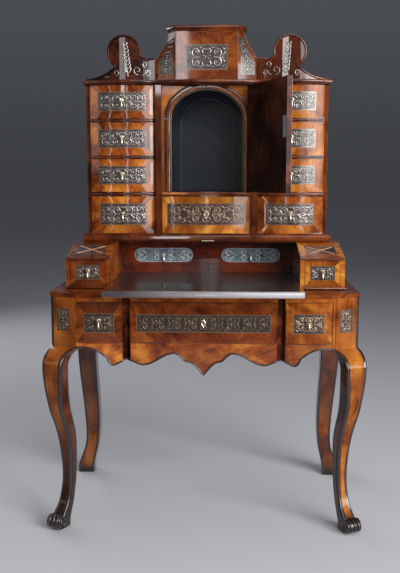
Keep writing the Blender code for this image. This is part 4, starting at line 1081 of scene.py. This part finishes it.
def makeCrest():
    low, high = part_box("crest_case")
    foot = low[2]
    height = high[2] - foot
    aside, ahead = crest["margin"]
    rim = (-crest["half"] + aside, foot + ahead, crest["half"] - aside, high[2] - ahead)
    makeFront("crest_front", rim, crest["panel"], flatAt(crest["frontY"]), "case", bars=crest["frontBars"],
              bands=friezeBands)
    cantY = crest["frontY"] + crest["cant"]
    width = crest["sideWidth"]
    x0, z0, x1, z1 = crest["sidePanel"]
    inset = crest["inkInset"]
    for name, side in sides:
        outer = (aside, ahead, width - crest["sideEnd"], height - ahead)
        sheet = makeSheet(outer, crest["sidePanel"], crest["sideBars"], friezeBands, "inlayGround",
                          rows=crest["sideRows"])
        ornament = layOrnament(layScrollwork(x1 - x0 - inset, z1 - z0 - inset, upright=True),
                               ((x0 + x1) / 2, (z0 + z1) / 2), front["ground"])
        whole = joinPieces([sheet, ornament])
        for vertex in whole.data.vertices:  # from the flat to the canted side, which narrows as it rises
            share = vertex.co.x / width
            reach = crest["half"] + share * (crestHalf(vertex.co.z, height) - crest["half"])
            y = crest["frontY"] + share * crest["cant"] + vertex.co.y
            vertex.co = (side * reach, y, vertex.co.z + foot)
        mendNormals(whole)
        settle(whole, "crest_side_" + name, "case")
        cornerY = crest["frontY"] - crest["beadOut"]
        corner = [(side * crest["half"], cornerY, z) for z in (foot + crest["beadFoot"], high[2])]
        makeBead("crest_corner_" + name, corner, crest["bead"], "walnutDeep", "case")
        edge = []
        for rise in spread(crest["beadFoot"], height, crest["edgeSteps"]):
            edge.append((side * (crestHalf(rise, height) - crest["sideEnd"]), cantY, foot + rise))
        makeBead("crest_edge_" + name, edge, crest["bead"], "walnutDeep", "case")
    capLow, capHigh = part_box("crest_cap")
    level = (capLow[2] + capHigh[2]) / 2 + crest["capRise"]
    out = crest["capOut"]
    half = [(crest["headHalf"] + out, crest["capBackY"]), (crest["headHalf"] + out, cantY - out),
            (crest["half"], crest["frontY"] - out)]
    path = [(-x, y, level) for x, y in half] + [(x, y, level) for x, y in reversed(half)]
    makeBead("cap_bead", path, crest["capBead"], "walnutDeep", "case")


# the scrolls beside the crest block: volute, rim along the upper edge, and a spray of inlay
volute = {
    "x": 0.2795, "radius": 0.053, "rim": 0.0045, "rimSeat": (0.001, 0.002), "foot": 0.004, "sweep": 2.2,
    "slopeEnd": 0.9, "slopeSteps": 6,
    "neck": (0.5, -0.92), "turns": range(-45, 196, 12), "saddle": ((0.030, 0.025), (0.002, 0.020)),
    # Painted shade: the rim of the left scroll is near-black and the right one lighter walnut, as the left
    # scroll lies away from the light.
    "rimFinish": {"left": "scrollWood", "right": "walnutDeep"}, "inlayProud": 0.0006,
}
spray = {
    "stem": (-0.014, -0.084), "climb": (0.010, 0.102), "climbSteps": 8, "stemHalf": (0.0016, 0.0001),
    "leafLength": (0.024, 0.0012), "leafWidth": 0.0038, "leafTurns": ((150, -70), (36, 70)),
    "whorlHalf": (0.0023, 0.0013), "whorlHeart": 0.25,
    "whorls": (  # x, rise, radius, turns
        (0.2335, 0.022, 0.015, (-100, 290)), (0.2015, 0.016, 0.012, (280, -110)),
        (0.2075, 0.042, 0.010, (-80, 300)), (0.3060, 0.014, 0.011, (280, -110)),
    ),
    "leaves": (  # at the saddle and on the slope: x, rise, heading, length, width, curl
        (0.2195, 0.006, 160, 0.034, 0.0030, -50), (0.3240, 0.002, -6, 0.026, 0.0028, 0.0),
    ),
}


def voluteOutline(node):
    # the upper edge of a scroll, from its outer foot over the volute to the crest
    low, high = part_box(node)
    radius = volute["radius"]
    hub = high[2] - radius
    inner = min(abs(low[0]), abs(high[0]))
    outer = max(abs(low[0]), abs(high[0]))
    foot = low[2] + volute["foot"]
    neckX = volute["x"] + volute["neck"][0] * radius
    neckZ = hub + volute["neck"][1] * radius
    edge = []
    for share in spread(0.0, volute["slopeEnd"], volute["slopeSteps"]):
        edge.append((outer + (neckX - outer) * share, foot + (neckZ - foot) * share ** volute["sweep"]))
    edge.append((neckX, neckZ))
    for turn in volute["turns"]:
        bend = math.radians(turn)
        edge.append((volute["x"] + radius * math.cos(bend), hub + radius * math.sin(bend)))
    edge += [(inner + aside, hub - drop) for aside, drop in volute["saddle"]]
    return edge, hub


def scrollSpray(hub):
    # a leafy stem climbing the neck into the volute, with whorls at the saddle and the slope
    stemX = volute["x"] + spray["stem"][0]
    foot = hub + spray["stem"][1]
    aside, rise = spray["climb"]
    climb = [(stemX + aside * share, foot + rise * share) for share in spread(0.0, 1.0, spray["climbSteps"])]
    thick, thinning = spray["stemHalf"]
    strokes = [[(x, z, thick - thinning * step) for step, (x, z) in enumerate(climb)]]
    longest, shortening = spray["leafLength"]
    for step, (x, z) in enumerate(climb[1:]):
        length = longest - shortening * step
        for heading, curl in spray["leafTurns"]:
            strokes.append(leaf((x, z), heading, length, spray["leafWidth"], curl))
    for x, z, radius, turns in spray["whorls"]:
        radii = (radius, spray["whorlHeart"] * radius)
        strokes.append(spiral((x, foot + z), radii, turns, spray["whorlHalf"]))
    for x, z, heading, length, width, curl in spray["leaves"]:
        strokes.append(leaf((x, foot + z), heading, length, width, curl))
    return strokes


def makeScrolls():
    sunk, drop = volute["rimSeat"]
    for name, side in sides:
        edge, hub = voluteOutline("scroll_" + name)
        rim = [(side * x, bankY(x) + sunk, z - drop) for x, z in edge]
        makeBead("scroll_rim_" + name, rim, volute["rim"], volute["rimFinish"][name], "case")
        inlay = layOrnament(scrollSpray(hub), (0, 0), volute["inlayProud"])
        for vertex in inlay.data.vertices:
            vertex.co.x *= side
        bendTo(inlay, bankY)
        mendNormals(inlay)
        settle(inlay, "scroll_inlay_" + name, "case")


makeCrest()
makeScrolls()
print("crest dressed")


# cornice, shelf edges, sides and back of the cabinet
cabinet = {
    "overhang": 0.007, "corniceBead": 0.0062, "corniceDrop": 0.005, "corniceBack": 0.004,
    "lowerBead": 0.0038, "lowerRise": 0.003, "lowerReach": -0.004,
    "shelfTops": (1.0775, 1.2015, 1.3255), "shelfThick": (0.015, 0.012, 0.012), "shelfBead": 0.0046,
    "shelfSunk": 0.0035, "shelfEndX": 0.4005, "sideRim": (-0.300, 0.938, -0.100, 1.435), "sideInset": 0.030,
    "backBoards": 6, "boardGap": 0.0004, "boardRound": 0.0018, "corniceSteps": 12, "shelfSteps": 14,
}


def makeCornice():
    low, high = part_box("cabinet_top")
    upper = (high[2] - cabinet["corniceDrop"], 0.0, cabinet["corniceBead"], "walnutDeep")
    # The lower bead is near-black as painted shade under the cornice.
    lower = (low[2] + cabinet["lowerRise"], cabinet["lowerReach"], cabinet["lowerBead"], "scrollWood")
    for level, reach, thick, finish in (upper, lower):
        out = cabinet["overhang"] + reach
        steps = cabinet["corniceSteps"]
        bank = [(x, bankY(x) - out) for x in spread(plan["bankInnerX"], plan["bankEndX"], steps)]
        corner = plan["bankEndX"] + out
        bank += [(corner, bank[-1][1]), (corner, plan["backY"] - cabinet["corniceBack"])]
        centre = [(x, centreY(x) - out) for x in spread(-plan["centreHalf"], plan["centreHalf"], steps)]
        outline = [(-x, y) for x, y in reversed(bank)] + centre + bank
        path = [(x, y, level) for x, y in outline]
        makeBead("cornice_bead_%d" % round(level * 1000), path, thick, finish, "case")


def makeCabinetTrim():
    makeCornice()
    for name, side in sides:
        for number, (top, thick) in enumerate(zip(cabinet["shelfTops"], cabinet["shelfThick"])):
            edge = [(side * x, bankY(x) + cabinet["shelfSunk"], top - thick / 2)
                    for x in spread(plan["bankInnerX"], cabinet["shelfEndX"], cabinet["shelfSteps"])]
            makeBead(f"shelf_bead_{name}_{number + 1}", edge, cabinet["shelfBead"], "walnutDeep", "case")
        rim = flipBox(cabinet["sideRim"], -side)
        makeField("side_veneer_" + name, rim, grow(rim, -cabinet["sideInset"]), "case", bars=2,
                  place=(side * plan["bankEndX"], 0, 0), turn=(0, 0, side * math.pi / 2))


def makeBackBoards():
    # upright boards in place of the plain back
    low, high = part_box("cabinet_back")
    count = cabinet["backBoards"]
    width = (high[0] - low[0]) / count
    size = (width - cabinet["boardGap"], high[1] - low[1], high[2] - low[2])
    boards = []
    for number in range(count):
        middle = (low[0] + width * (number + 0.5), (low[1] + high[1]) / 2, (low[2] + high[2]) / 2)
        board = addBlock(middle, size, cabinet["boardRound"])
        paint(board, "backBoards")
        boards.append(board)
    whole = joinPieces(boards)
    settle(whole, "back_boards", "case")
    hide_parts("cabinet_back")


# the arched niche: lining, mouldings and blocks pressed on the arch, and lines at the back
niche = {
    "low": (-0.1535, 0.110, 1.0785), "high": (0.1535, 0.3075, 1.4365), "liningThick": 0.0012,
    "archHalf": 0.128, "archSpring": 1.323, "archRise": 0.105, "archY": 0.0903, "archTurns": range(0, 181, 9),
    "beads": (  # name, offset, radius, share of its depth that is kept, finish
        ("arch_moulding", 0.0100, 0.0095, 0.10, "walnutDeep"), ("arch_edge", 0.0200, 0.0018, 0.50, "ebony"),
        # arch_line: a pale gold bead just inside the arch, a painted highlight on its inner edge.
        ("arch_line", 0.0012, 0.0017, 0.50, "goldAcross"),
    ),
    "blocks": (  # both ends as (x, rise above the spring), finish
        ((-0.150, 0.002), (-0.129, 0.002), "mirrorEdge"), ((0.129, 0.002), (0.150, 0.002), "mirrorEdge"),
        ((0, 0.106), (0, 0.123), "ebony"),
    ),
    "blockRadius": 0.0042, "blockShare": 0.29,
    "innerOffset": -0.003, "innerSunk": 0.012, "innerRadius": 0.0060,
    "backShare": 0.80, "backY": 0.305, "backDrop": 0.018, "backRadius": 0.0020,
    "lines": (((-0.085, 1.330), (0.090, 1.165)), ((-0.060, 1.372), (0.094, 1.226)),
              ((-0.092, 1.255), (0.030, 1.140))), "lineY": 0.3062, "lineRadius": 0.0011,
    "ledgeY": 0.0735, "ledgeDrop": 0.0075, "ledgeRadius": 0.0060,
}


def archPath(offset, y, foot):
    half = niche["archHalf"] + offset
    rise = niche["archRise"] + offset
    path = [(half, y, foot)]
    for turn in niche["archTurns"]:
        bend = math.radians(turn)
        path.append((half * math.cos(bend), y, niche["archSpring"] + rise * math.sin(bend)))
    return path + [(-half, y, foot)]


def press(piece, share):
    # a moulding pressed nearly flat on the face of the arch
    for vertex in piece.data.vertices:
        vertex.co.y = niche["archY"] + (vertex.co.y - niche["archY"]) * share


def makeLining():
    low = Vector(niche["low"])
    high = Vector(niche["high"])
    lining = addBlock((low + high) / 2, high - low)
    openMesh(lining, facesFront)
    bpy.ops.mesh.delete(type="FACE")
    bpy.ops.mesh.select_all(action="SELECT")
    bpy.ops.mesh.flip_normals()
    closeMesh()
    addModifier(lining, "SOLIDIFY", thickness=niche["liningThick"], offset=1)
    paint(lining, "nicheLining")
    settle(lining, "niche_lining", "case")


def makeNiche():
    makeLining()
    foot = niche["low"][2]
    archY = niche["archY"]
    for name, offset, radius, share, finish in niche["beads"]:
        bead = makeBead(name, archPath(offset, archY, foot), radius, finish, "case", facets=3)
        press(bead, share)
    for number, (start, end, finish) in enumerate(niche["blocks"]):
        path = [(x, archY, niche["archSpring"] + z) for x, z in (start, end)]
        block = makeBead(f"arch_block_{number + 1}", path, niche["blockRadius"], finish, "case")
        press(block, niche["blockShare"])
    inner = archPath(niche["innerOffset"], archY + niche["innerSunk"], foot)
    makeBead("arch_inner", inner, niche["innerRadius"], "ebony", "case")
    # Painted highlight: a pale bead round the arch at the back of the niche, for the light caught along its
    # edge.
    drop = niche["backDrop"]
    back = [(x * niche["backShare"], y, z - drop) for x, y, z in archPath(0.0, niche["backY"], foot + drop)]
    makeBead("niche_back_arch", back, niche["backRadius"], "mirrorEdge", "case")
    for number, ends in enumerate(niche["lines"]):
        line = [(x, niche["lineY"], z) for x, z in ends]
        makeBead(f"niche_line_{number + 1}", line, niche["lineRadius"], "ebony", "case")
    ledge = [(x, niche["ledgeY"], foot - niche["ledgeDrop"]) for x in (niche["low"][0], niche["high"][0])]
    makeBead("niche_ledge", ledge, niche["ledgeRadius"], "walnutAcross", "case")


makeCabinetTrim()
makeBackBoards()
makeNiche()
print("cabinet trimmed")

# niche door, made shut about its hinge line and turned open
door = {
    "place": (0.1539, 0.072, 0), "turn": (0, 0, math.radians(112.0)), "width": 0.3072, "bow": 0.010,
    "thick": 0.017, "rimSide": 0.002, "rimEnd": 0.001, "border": 0.055,
    "edgeProud": 0.0008, "edgeThick": 0.0012, "edgeIn": 0.0012,
    "lock": (-0.3005, 1.252, -0.2740, 1.317), "lockThick": 0.0014, "lockLift": 0.0003, "lockRound": 0.0005,
    "hinges": (1.135, 1.375), "hingeRadius": 0.0036, "hingeLength": 0.046, "hingeOut": 0.0012,
}


def doorY(x):
    half = door["width"] / 2
    return -door["bow"] * (1 - ((x + half) / half) ** 2)


def onDoor(piece):
    piece.location = door["place"]
    piece.rotation_euler = door["turn"]
    return piece


def makeDoor():
    low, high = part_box("niche_door")
    aside = door["rimSide"]
    rim = (-door["width"] + aside, low[2] + door["rimEnd"], -aside, high[2] - door["rimEnd"])
    makeFront("door_veneer", rim, grow(rim, -door["border"]), doorY, "niche_door", place=door["place"],
              turn=door["turn"])
    edge = addPatch(boxCorners((0, low[2], door["thick"], high[2])), door["edgeProud"], "scrollWood")
    thicken(edge, door["edgeThick"])
    for vertex in edge.data.vertices:
        vertex.co = (-door["width"] + door["edgeIn"] + vertex.co.y, vertex.co.x, vertex.co.z)
    mendNormals(edge)
    settle(onDoor(edge), "door_edge", "niche_door")
    x0, z0, x1, z1 = door["lock"]
    lock = addBlock(((x0 + x1) / 2, door["thick"] + door["lockLift"], (z0 + z1) / 2),
                    (x1 - x0, door["lockThick"], z1 - z0), door["lockRound"])
    bendTo(lock, doorY)
    # The steel lock plate is painted pale white: partly its own pale steel, and partly a painted highlight
    # for its bright look.
    paint(lock, "paintedWhite")
    settle(onDoor(lock), "door_lock", "niche_door")
    hingeX = door["place"][0] + door["hingeOut"]
    hingeY = door["place"][1] - door["hingeOut"]
    half = door["hingeLength"] / 2
    for number, level in enumerate(door["hinges"]):
        path = [(hingeX, hingeY, level - half), (hingeX, hingeY, level + half)]
        makeBead(f"door_hinge_{number + 1}", path, door["hingeRadius"], "brass", "case", facets=3)


makeDoor()
print("door dressed")


# legs: the solids' sections with beaded arrises; a station is height, front, back and width
legs = {
    "stations": ((0.0, 0.056, 0.012, 0.048), (0.026, 0.062, 0.012, 0.048), (0.085, 0.018, -0.016, 0.040),
                 (0.175, 0.0, -0.034, 0.038), (0.300, 0.016, -0.027, 0.048), (0.410, 0.057, 0.008, 0.056),
                 (0.535, 0.070, 0.026, 0.074)),
    "rearStations": ((0.0, 0.017, -0.041, 0.060), (0.030, 0.017, -0.041, 0.060),
                     (0.120, -0.012, -0.060, 0.060), (0.230, -0.010, -0.065, 0.060),
                     (0.470, 0.012, -0.054, 0.060), (0.591, 0.0, -0.058, 0.060)),
    "rearPlace": (0.478, 0.288), "firstRing": 0.004, "ankle": 0.085, "rearFirst": 0.001, "rearAnkle": 0.030,
    "postFoot": 0.591, "postHead": 0.7536, "postSteps": (0.0015, 0.004), "postDepth": 0.064,
    "post": ((0.405, -0.230), (0.492, -0.189), (0.492, -0.125), (0.405, -0.125)),
    "faceWidth": math.hypot(0.087, 0.041), "trim": 0.0016, "bead": 0.0046, "rearBead": 0.0034,
    "groove": 0.0011, "grooveEdge": 2.3, "grooveFloor": 2.15, "beadTurns": range(-40, 131, 34),
    "footSteps": 12, "shinSteps": 34, "kneeSteps": 10, "rearSteps": (2, 32),
    "merge": 0.00001, "smooth": 38, "polish": (0.014, 0.008, 0.007, 1),
}
# finishes of the legs: the veneer, and the heights between which it turns to black polish at the foot. On the
# left leg that turn runs from 0.48 m down, as painted shade darkening the face downwards. The sides are dark
# walnut, darker partly as painted shade.
legFinishes = {
    "legFaceLeft": ("legLeft", (0.480, 0.020)), "legFaceRight": ("legRight", (0.066, 0.046)),
    "legSide": ("walnutDeep", (0.090, 0.060)), "rearLeg": ("walnutRear", (0.040, 0.015)),
}


def makeLegFinish(name):
    base, band = legFinishes[name]
    material = finishes[base].copy()
    material.name = name
    tree = material.node_tree
    shader = tree.nodes["Principled BSDF"]
    veneer = shader.inputs["Base Color"].links[0].from_socket
    place = addNode(tree, "ShaderNodeTexCoord").outputs["Object"]
    height = addNode(tree, "ShaderNodeSeparateXYZ", Vector=place).outputs["Z"]
    footedAndShaded = mixColours(tree, "MIX", veneer, legs["polish"], addRange(tree, height, band))
    tree.links.new(footedAndShaded, shader.inputs["Base Color"])
    return material


def trackAt(rows, column, height):
    # smooth line through the stations, upright at both ends
    line = [(row[0], row[column]) for row in rows]
    slopes = [(far[1] - near[1]) / (far[0] - near[0]) for near, far in zip(line, line[2:])]
    slopes = [0.0] + slopes + [0.0]
    for index, ((z0, v0), (z1, v1)) in enumerate(zip(line, line[1:])):
        if height <= z1:
            t = (height - z0) / (z1 - z0)
            start = v0 * (1 + 2 * t) * (1 - t) ** 2 + v1 * t * t * (3 - 2 * t)
            return start + (z1 - z0) * t * (1 - t) * (slopes[index] * (1 - t) - slopes[index + 1] * t)
    return line[-1][1]


def shapeAt(rows, height):
    return [trackAt(rows, column, height) for column in (1, 2, 3)]


def turnedCorners(place, turn, front, back, width):
    ahead = Vector((math.sin(turn), -math.cos(turn)))
    aside = Vector((math.cos(turn), math.sin(turn)))
    half = (width - legs["trim"]) / 2
    heart = Vector(place)
    spots = ((-half, front), (half, front), (half, back), (-half, back))
    return [heart + aside * u + ahead * v for u, v in spots]


def frontLegRings():
    def ring(height, shape):
        return (height, turnedCorners((plan["postX"], plan["postY"]), plan["postTurn"], *shape))
    rows = legs["stations"]
    knee, front, back, width = rows[-1]
    heights = spread(legs["firstRing"], legs["ankle"], legs["footSteps"])
    heights += spread(legs["ankle"], knee, legs["shinSteps"])[1:]
    rings = [ring(z, shapeAt(rows, z)) for z in heights]
    for share in spread(0, 1, legs["kneeSteps"])[1:-1]:  # the knee rounds over into the corner post
        turn = math.pi / 2 * share
        bend = math.cos(turn)
        shape = (front * bend, -legs["postDepth"] + (back + legs["postDepth"]) * bend,
                 legs["faceWidth"] + (width - legs["faceWidth"]) * bend)
        rings.append(ring(knee + (legs["postFoot"] - knee) * math.sin(turn), shape))
    for z in [legs["postFoot"] + step for step in legs["postSteps"]] + [legs["postHead"]]:
        rings.append((z, [Vector(corner) for corner in legs["post"]]))
    return rings


def rearLegRings():
    rows = legs["rearStations"]
    low, high = legs["rearSteps"]
    heights = spread(legs["rearFirst"], legs["rearAnkle"], low)
    heights += spread(legs["rearAnkle"], legs["postFoot"], high)[1:]
    heights.append(legs["postHead"])
    return [(z, turnedCorners(legs["rearPlace"], math.pi / 2, *shapeAt(rows, z))) for z in heights]


def beadedSection(corners, bead):
    # points round one section, each with its zone: 0 face, 1 bead, 2 sides and back
    edge = legs["grooveEdge"] * bead
    floor = legs["grooveFloor"] * bead
    section = []
    for number, corner in enumerate(corners):
        following = corners[(number + 1) % 4]
        before = (corners[number - 1] - corner).normalized()
        after = (following - corner).normalized()
        heart = corner + (before + after) * bead
        inward = (before + after).normalized() * legs["groove"]
        zone = 0 if number == 0 else 2
        section.append((corner + before * edge, 1))
        section.append((corner + before * floor + inward, 1))
        for turn in legs["beadTurns"]:
            bend = math.radians(turn)
            section.append((heart - (after * math.cos(bend) + before * math.sin(bend)) * bead, 1))
        section.append((corner + after * floor + inward, 1))
        section.append((corner + after * edge, zone))
        section.append((corner + (following - corner) / 2, zone))
    return section


def makeLimb(name, node, side, rings, bead, faces):
    # a sheet of one row for each ring, wrapped round the sections and closed at both ends
    sections = [(z, beadedSection(corners, bead)) for z, corners in rings]
    zones = [zone for spot, zone in sections[0][1]]
    count = len(zones)
    rows = len(rings) - 1
    bpy.ops.mesh.primitive_grid_add(x_subdivisions=count, y_subdivisions=rows, size=1)
    limb = bpy.context.object
    for vertex in limb.data.vertices:
        turn = round((vertex.co.x + 0.5) * count)
        z, section = sections[round((vertex.co.y + 0.5) * rows)]
        spot = section[turn % count][0]
        vertex.co = (side * spot.x, spot.y, z)
    limb.data.materials.clear()
    for finish in faces:
        limb.data.materials.append(finishes[finish])
    firstCorner = count // 4
    for face in limb.data.polygons:
        turn = face.index % count
        onPost = rings[face.index // count][0] > legs["postFoot"] and bead == legs["bead"]
        face.material_index = 0 if onPost and turn < firstCorner else zones[turn]
    openMesh(limb)
    bpy.ops.mesh.remove_doubles(threshold=legs["merge"])
    bpy.ops.mesh.select_all(action="DESELECT")
    bpy.ops.mesh.select_non_manifold()
    bpy.ops.mesh.fill_holes(sides=0)
    closeMesh()
    mendNormals(limb)
    smooth(limb, legs["smooth"])
    settle(limb, name, bodyOf(node))
    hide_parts(node)


# carved scroll feet: a drum with hollow ends, a coil at each end and lobes over its front
scrollFoot = {
    "toe": 0.058, "radius": 0.0232, "lift": 0.0245, "half": 0.0246, "corners": 40, "hollow": (0.006, -0.002),
    "round": 0.0028, "roundAngle": 40, "smooth": 45,
    "coilBead": 0.0029, "coilSeat": 0.4, "coilIn": 0.0022, "coilTurns": (100, -540), "coilHeart": 0.80,
    "coilSteps": 40, "lobeSteps": 12,
    "lobeBead": 0.0042, "lobeSeat": 0.0016, "lobeAt": (-0.6, 0.0, 0.6), "lobeTurns": (-20, 130),
}


def makeFoot(name, side):
    turn = side * plan["postTurn"]
    ahead = Vector((math.sin(turn), -math.cos(turn), 0))
    aside = Vector((math.cos(turn), math.sin(turn), 0))
    heart = Vector((side * plan["postX"], plan["postY"], scrollFoot["lift"])) + ahead * scrollFoot["toe"]
    half = scrollFoot["half"]

    def onDrum(across, radius, turn):
        bend = math.radians(turn)
        spot = heart + aside * across + ahead * (radius * math.cos(bend))
        return spot + Vector((0, 0, radius * math.sin(bend)))

    bpy.ops.mesh.primitive_cylinder_add(vertices=scrollFoot["corners"], radius=scrollFoot["radius"],
                                        depth=2 * half)
    drum = bpy.context.object
    thickness, depth = scrollFoot["hollow"]
    openMesh(drum, lambda face: abs(face.normal.z) > square)
    bpy.ops.mesh.inset(thickness=thickness, depth=depth)
    closeMesh()
    addModifier(drum, "BEVEL", width=scrollFoot["round"], segments=3, limit_method="ANGLE",
                angle_limit=math.radians(scrollFoot["roundAngle"]))
    smooth(drum, scrollFoot["smooth"])
    paint(drum, "ebony")
    drum.location = heart
    drum.rotation_euler = aside.to_track_quat("Z", "Y").to_euler()
    settle(drum, "foot_scroll_" + name, "case")
    rim = scrollFoot["radius"] - scrollFoot["coilBead"] * scrollFoot["coilSeat"]
    turns = spread(*scrollFoot["coilTurns"], scrollFoot["coilSteps"])
    radii = spread(rim, rim * (1 - scrollFoot["coilHeart"]), scrollFoot["coilSteps"])
    for edgeName, hand in (("inner", -side), ("outer", side)):
        across = hand * (half - scrollFoot["coilIn"])
        coil = [onDrum(across, radius, turn) for radius, turn in zip(radii, turns)]
        makeBead(f"foot_coil_{name}_{edgeName}", coil, scrollFoot["coilBead"], "ebony", "case")
    radius = scrollFoot["radius"] - scrollFoot["lobeSeat"]
    turns = spread(*scrollFoot["lobeTurns"], scrollFoot["lobeSteps"])
    for number, share in enumerate(scrollFoot["lobeAt"]):
        lobe = [onDrum(share * half, radius, turn) for turn in turns]
        makeBead(f"foot_lobe_{name}_{number + 1}", lobe, scrollFoot["lobeBead"], "ebony", "case")


finishes.update({name: makeLegFinish(name) for name in legFinishes})
for legName, legSide in sides:
    makeLimb("front_leg_" + legName, "leg_front_" + legName, legSide, frontLegRings(), legs["bead"],
             ("legFace" + legName.title(), "ebony", "legSide"))
    makeFoot(legName, legSide)
    makeLimb("rear_leg_" + legName, "leg_rear_" + legName, legSide, rearLegRings(), legs["rearBead"],
             ("rearLeg", "ebony", "rearLeg"))
print("legs made")


# small brass: drop pulls, and a rosette with a forked stem behind each
brass = {
    "merge": 0.00002, "quadAngles": (50, 60), "levels": 2,
    "rosette": 0.0074, "rosetteThick": 0.0022, "corners": 28, "rings": ((0.0018, -0.0007), (0.0012, 0.0016)),
    "round": 0.0005, "roundAngle": 30, "smooth": 40,
    "forkReach": 0.010, "forkHalf": 0.0036, "slot": 0.0013, "cheekY": -0.0066, "cheekDepth": 0.0135,
    "cheekHeight": 0.0074, "cheekRound": 0.0009, "plateIn": 0.0010,
}


def makeDrop(node, name):
    piece = bpy.data.objects.new(name, nodes[node].data.copy())
    bpy.context.scene.collection.objects.link(piece)
    mendNormals(piece, brass["merge"])
    flat, skew = brass["quadAngles"]
    openMesh(piece)
    bpy.ops.mesh.tris_convert_to_quads(face_threshold=math.radians(flat), shape_threshold=math.radians(skew))
    closeMesh()
    addModifier(piece, "SUBSURF", levels=brass["levels"], render_levels=brass["levels"])
    bpy.ops.object.shade_smooth()
    paint(piece, "brass")
    settle(piece, name, bodyOf(node))
    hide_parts(node)


def makeRosette():
    bpy.ops.mesh.primitive_cylinder_add(vertices=brass["corners"], radius=brass["rosette"],
                                        depth=brass["rosetteThick"], rotation=(math.pi / 2, 0, 0))
    rosette = bpy.context.object
    applyPlace(rosette)
    openMesh(rosette, facesFront)
    for thickness, depth in brass["rings"]:
        bpy.ops.mesh.inset(thickness=thickness, depth=depth)
    closeMesh()
    addModifier(rosette, "BEVEL", width=brass["round"], segments=2, limit_method="ANGLE",
                angle_limit=math.radians(brass["roundAngle"]))
    smooth(rosette, brass["smooth"])
    width = brass["forkHalf"] - brass["slot"]
    pieces = [rosette]
    for hand in (-1, 1):
        pieces.append(addBlock((hand * (brass["slot"] + width / 2), brass["cheekY"], 0),
                               (width, brass["cheekDepth"], brass["cheekHeight"]), brass["cheekRound"]))
    whole = joinPieces(pieces)
    paint(whole, "brass")
    return whole


def makePulls():
    model = makeRosette()
    for node in sorted(nodes):
        if not node.startswith("pull_"):
            continue
        name = node.removeprefix("pull_")
        makeDrop(node, "drop_" + name)
        x, y, z = [joint["pos_m"] for joint in frame["joints"] if joint["child"] == node][0]
        plate = model.copy()
        plate.data = model.data.copy()
        bpy.context.scene.collection.objects.link(plate)
        plate.location = (x, y + brass["forkReach"] - brass["plateIn"], z)
        settle(plate, "rosette_" + name, bodyOf("drawer_" + name))
    bpy.data.objects.remove(model)


makePulls()
print("pulls made")

# finishes of the solids that stay in view, by the start of their names
nodeFinishes = {
    "arch_frame": "legRight", "back_rail": "walnutDeep", "bank_frame": "walnutDeep",
    "cabinet_base": "walnutDeep", "cabinet_side": "walnutDeep", "cabinet_top": "topBoards",
    "crest_cap": "topBoards", "crest_case": "friezeAcross", "desk_top": "friezeAcross",
    # The flap's finish paints its edge from shade at the left to a pale sheen at the right.
    "drawer": "drawerOak", "dust_board": "drawerOak", "flap": "flapEdge",
    "front_frame": "walnutAcross", "interior_divider": "redInterior", "niche_door": "doorInside",
    # The left scroll takes near-black wood as painted shade, and the right one lighter walnut.
    "niche_floor": "walnutDeep", "scroll_left": "scrollPolished", "scroll_right": "walnutDeep",
    "side_rail": "walnutAcross", "till_case": "walnutAcross", "writing_bed": "leather",
}
for nodeName, node in nodes.items():
    for start, finish in nodeFinishes.items():
        if nodeName.startswith(start):
            for slot in node.material_slots:
                slot.material = finishes[finish]
print("solids finished")
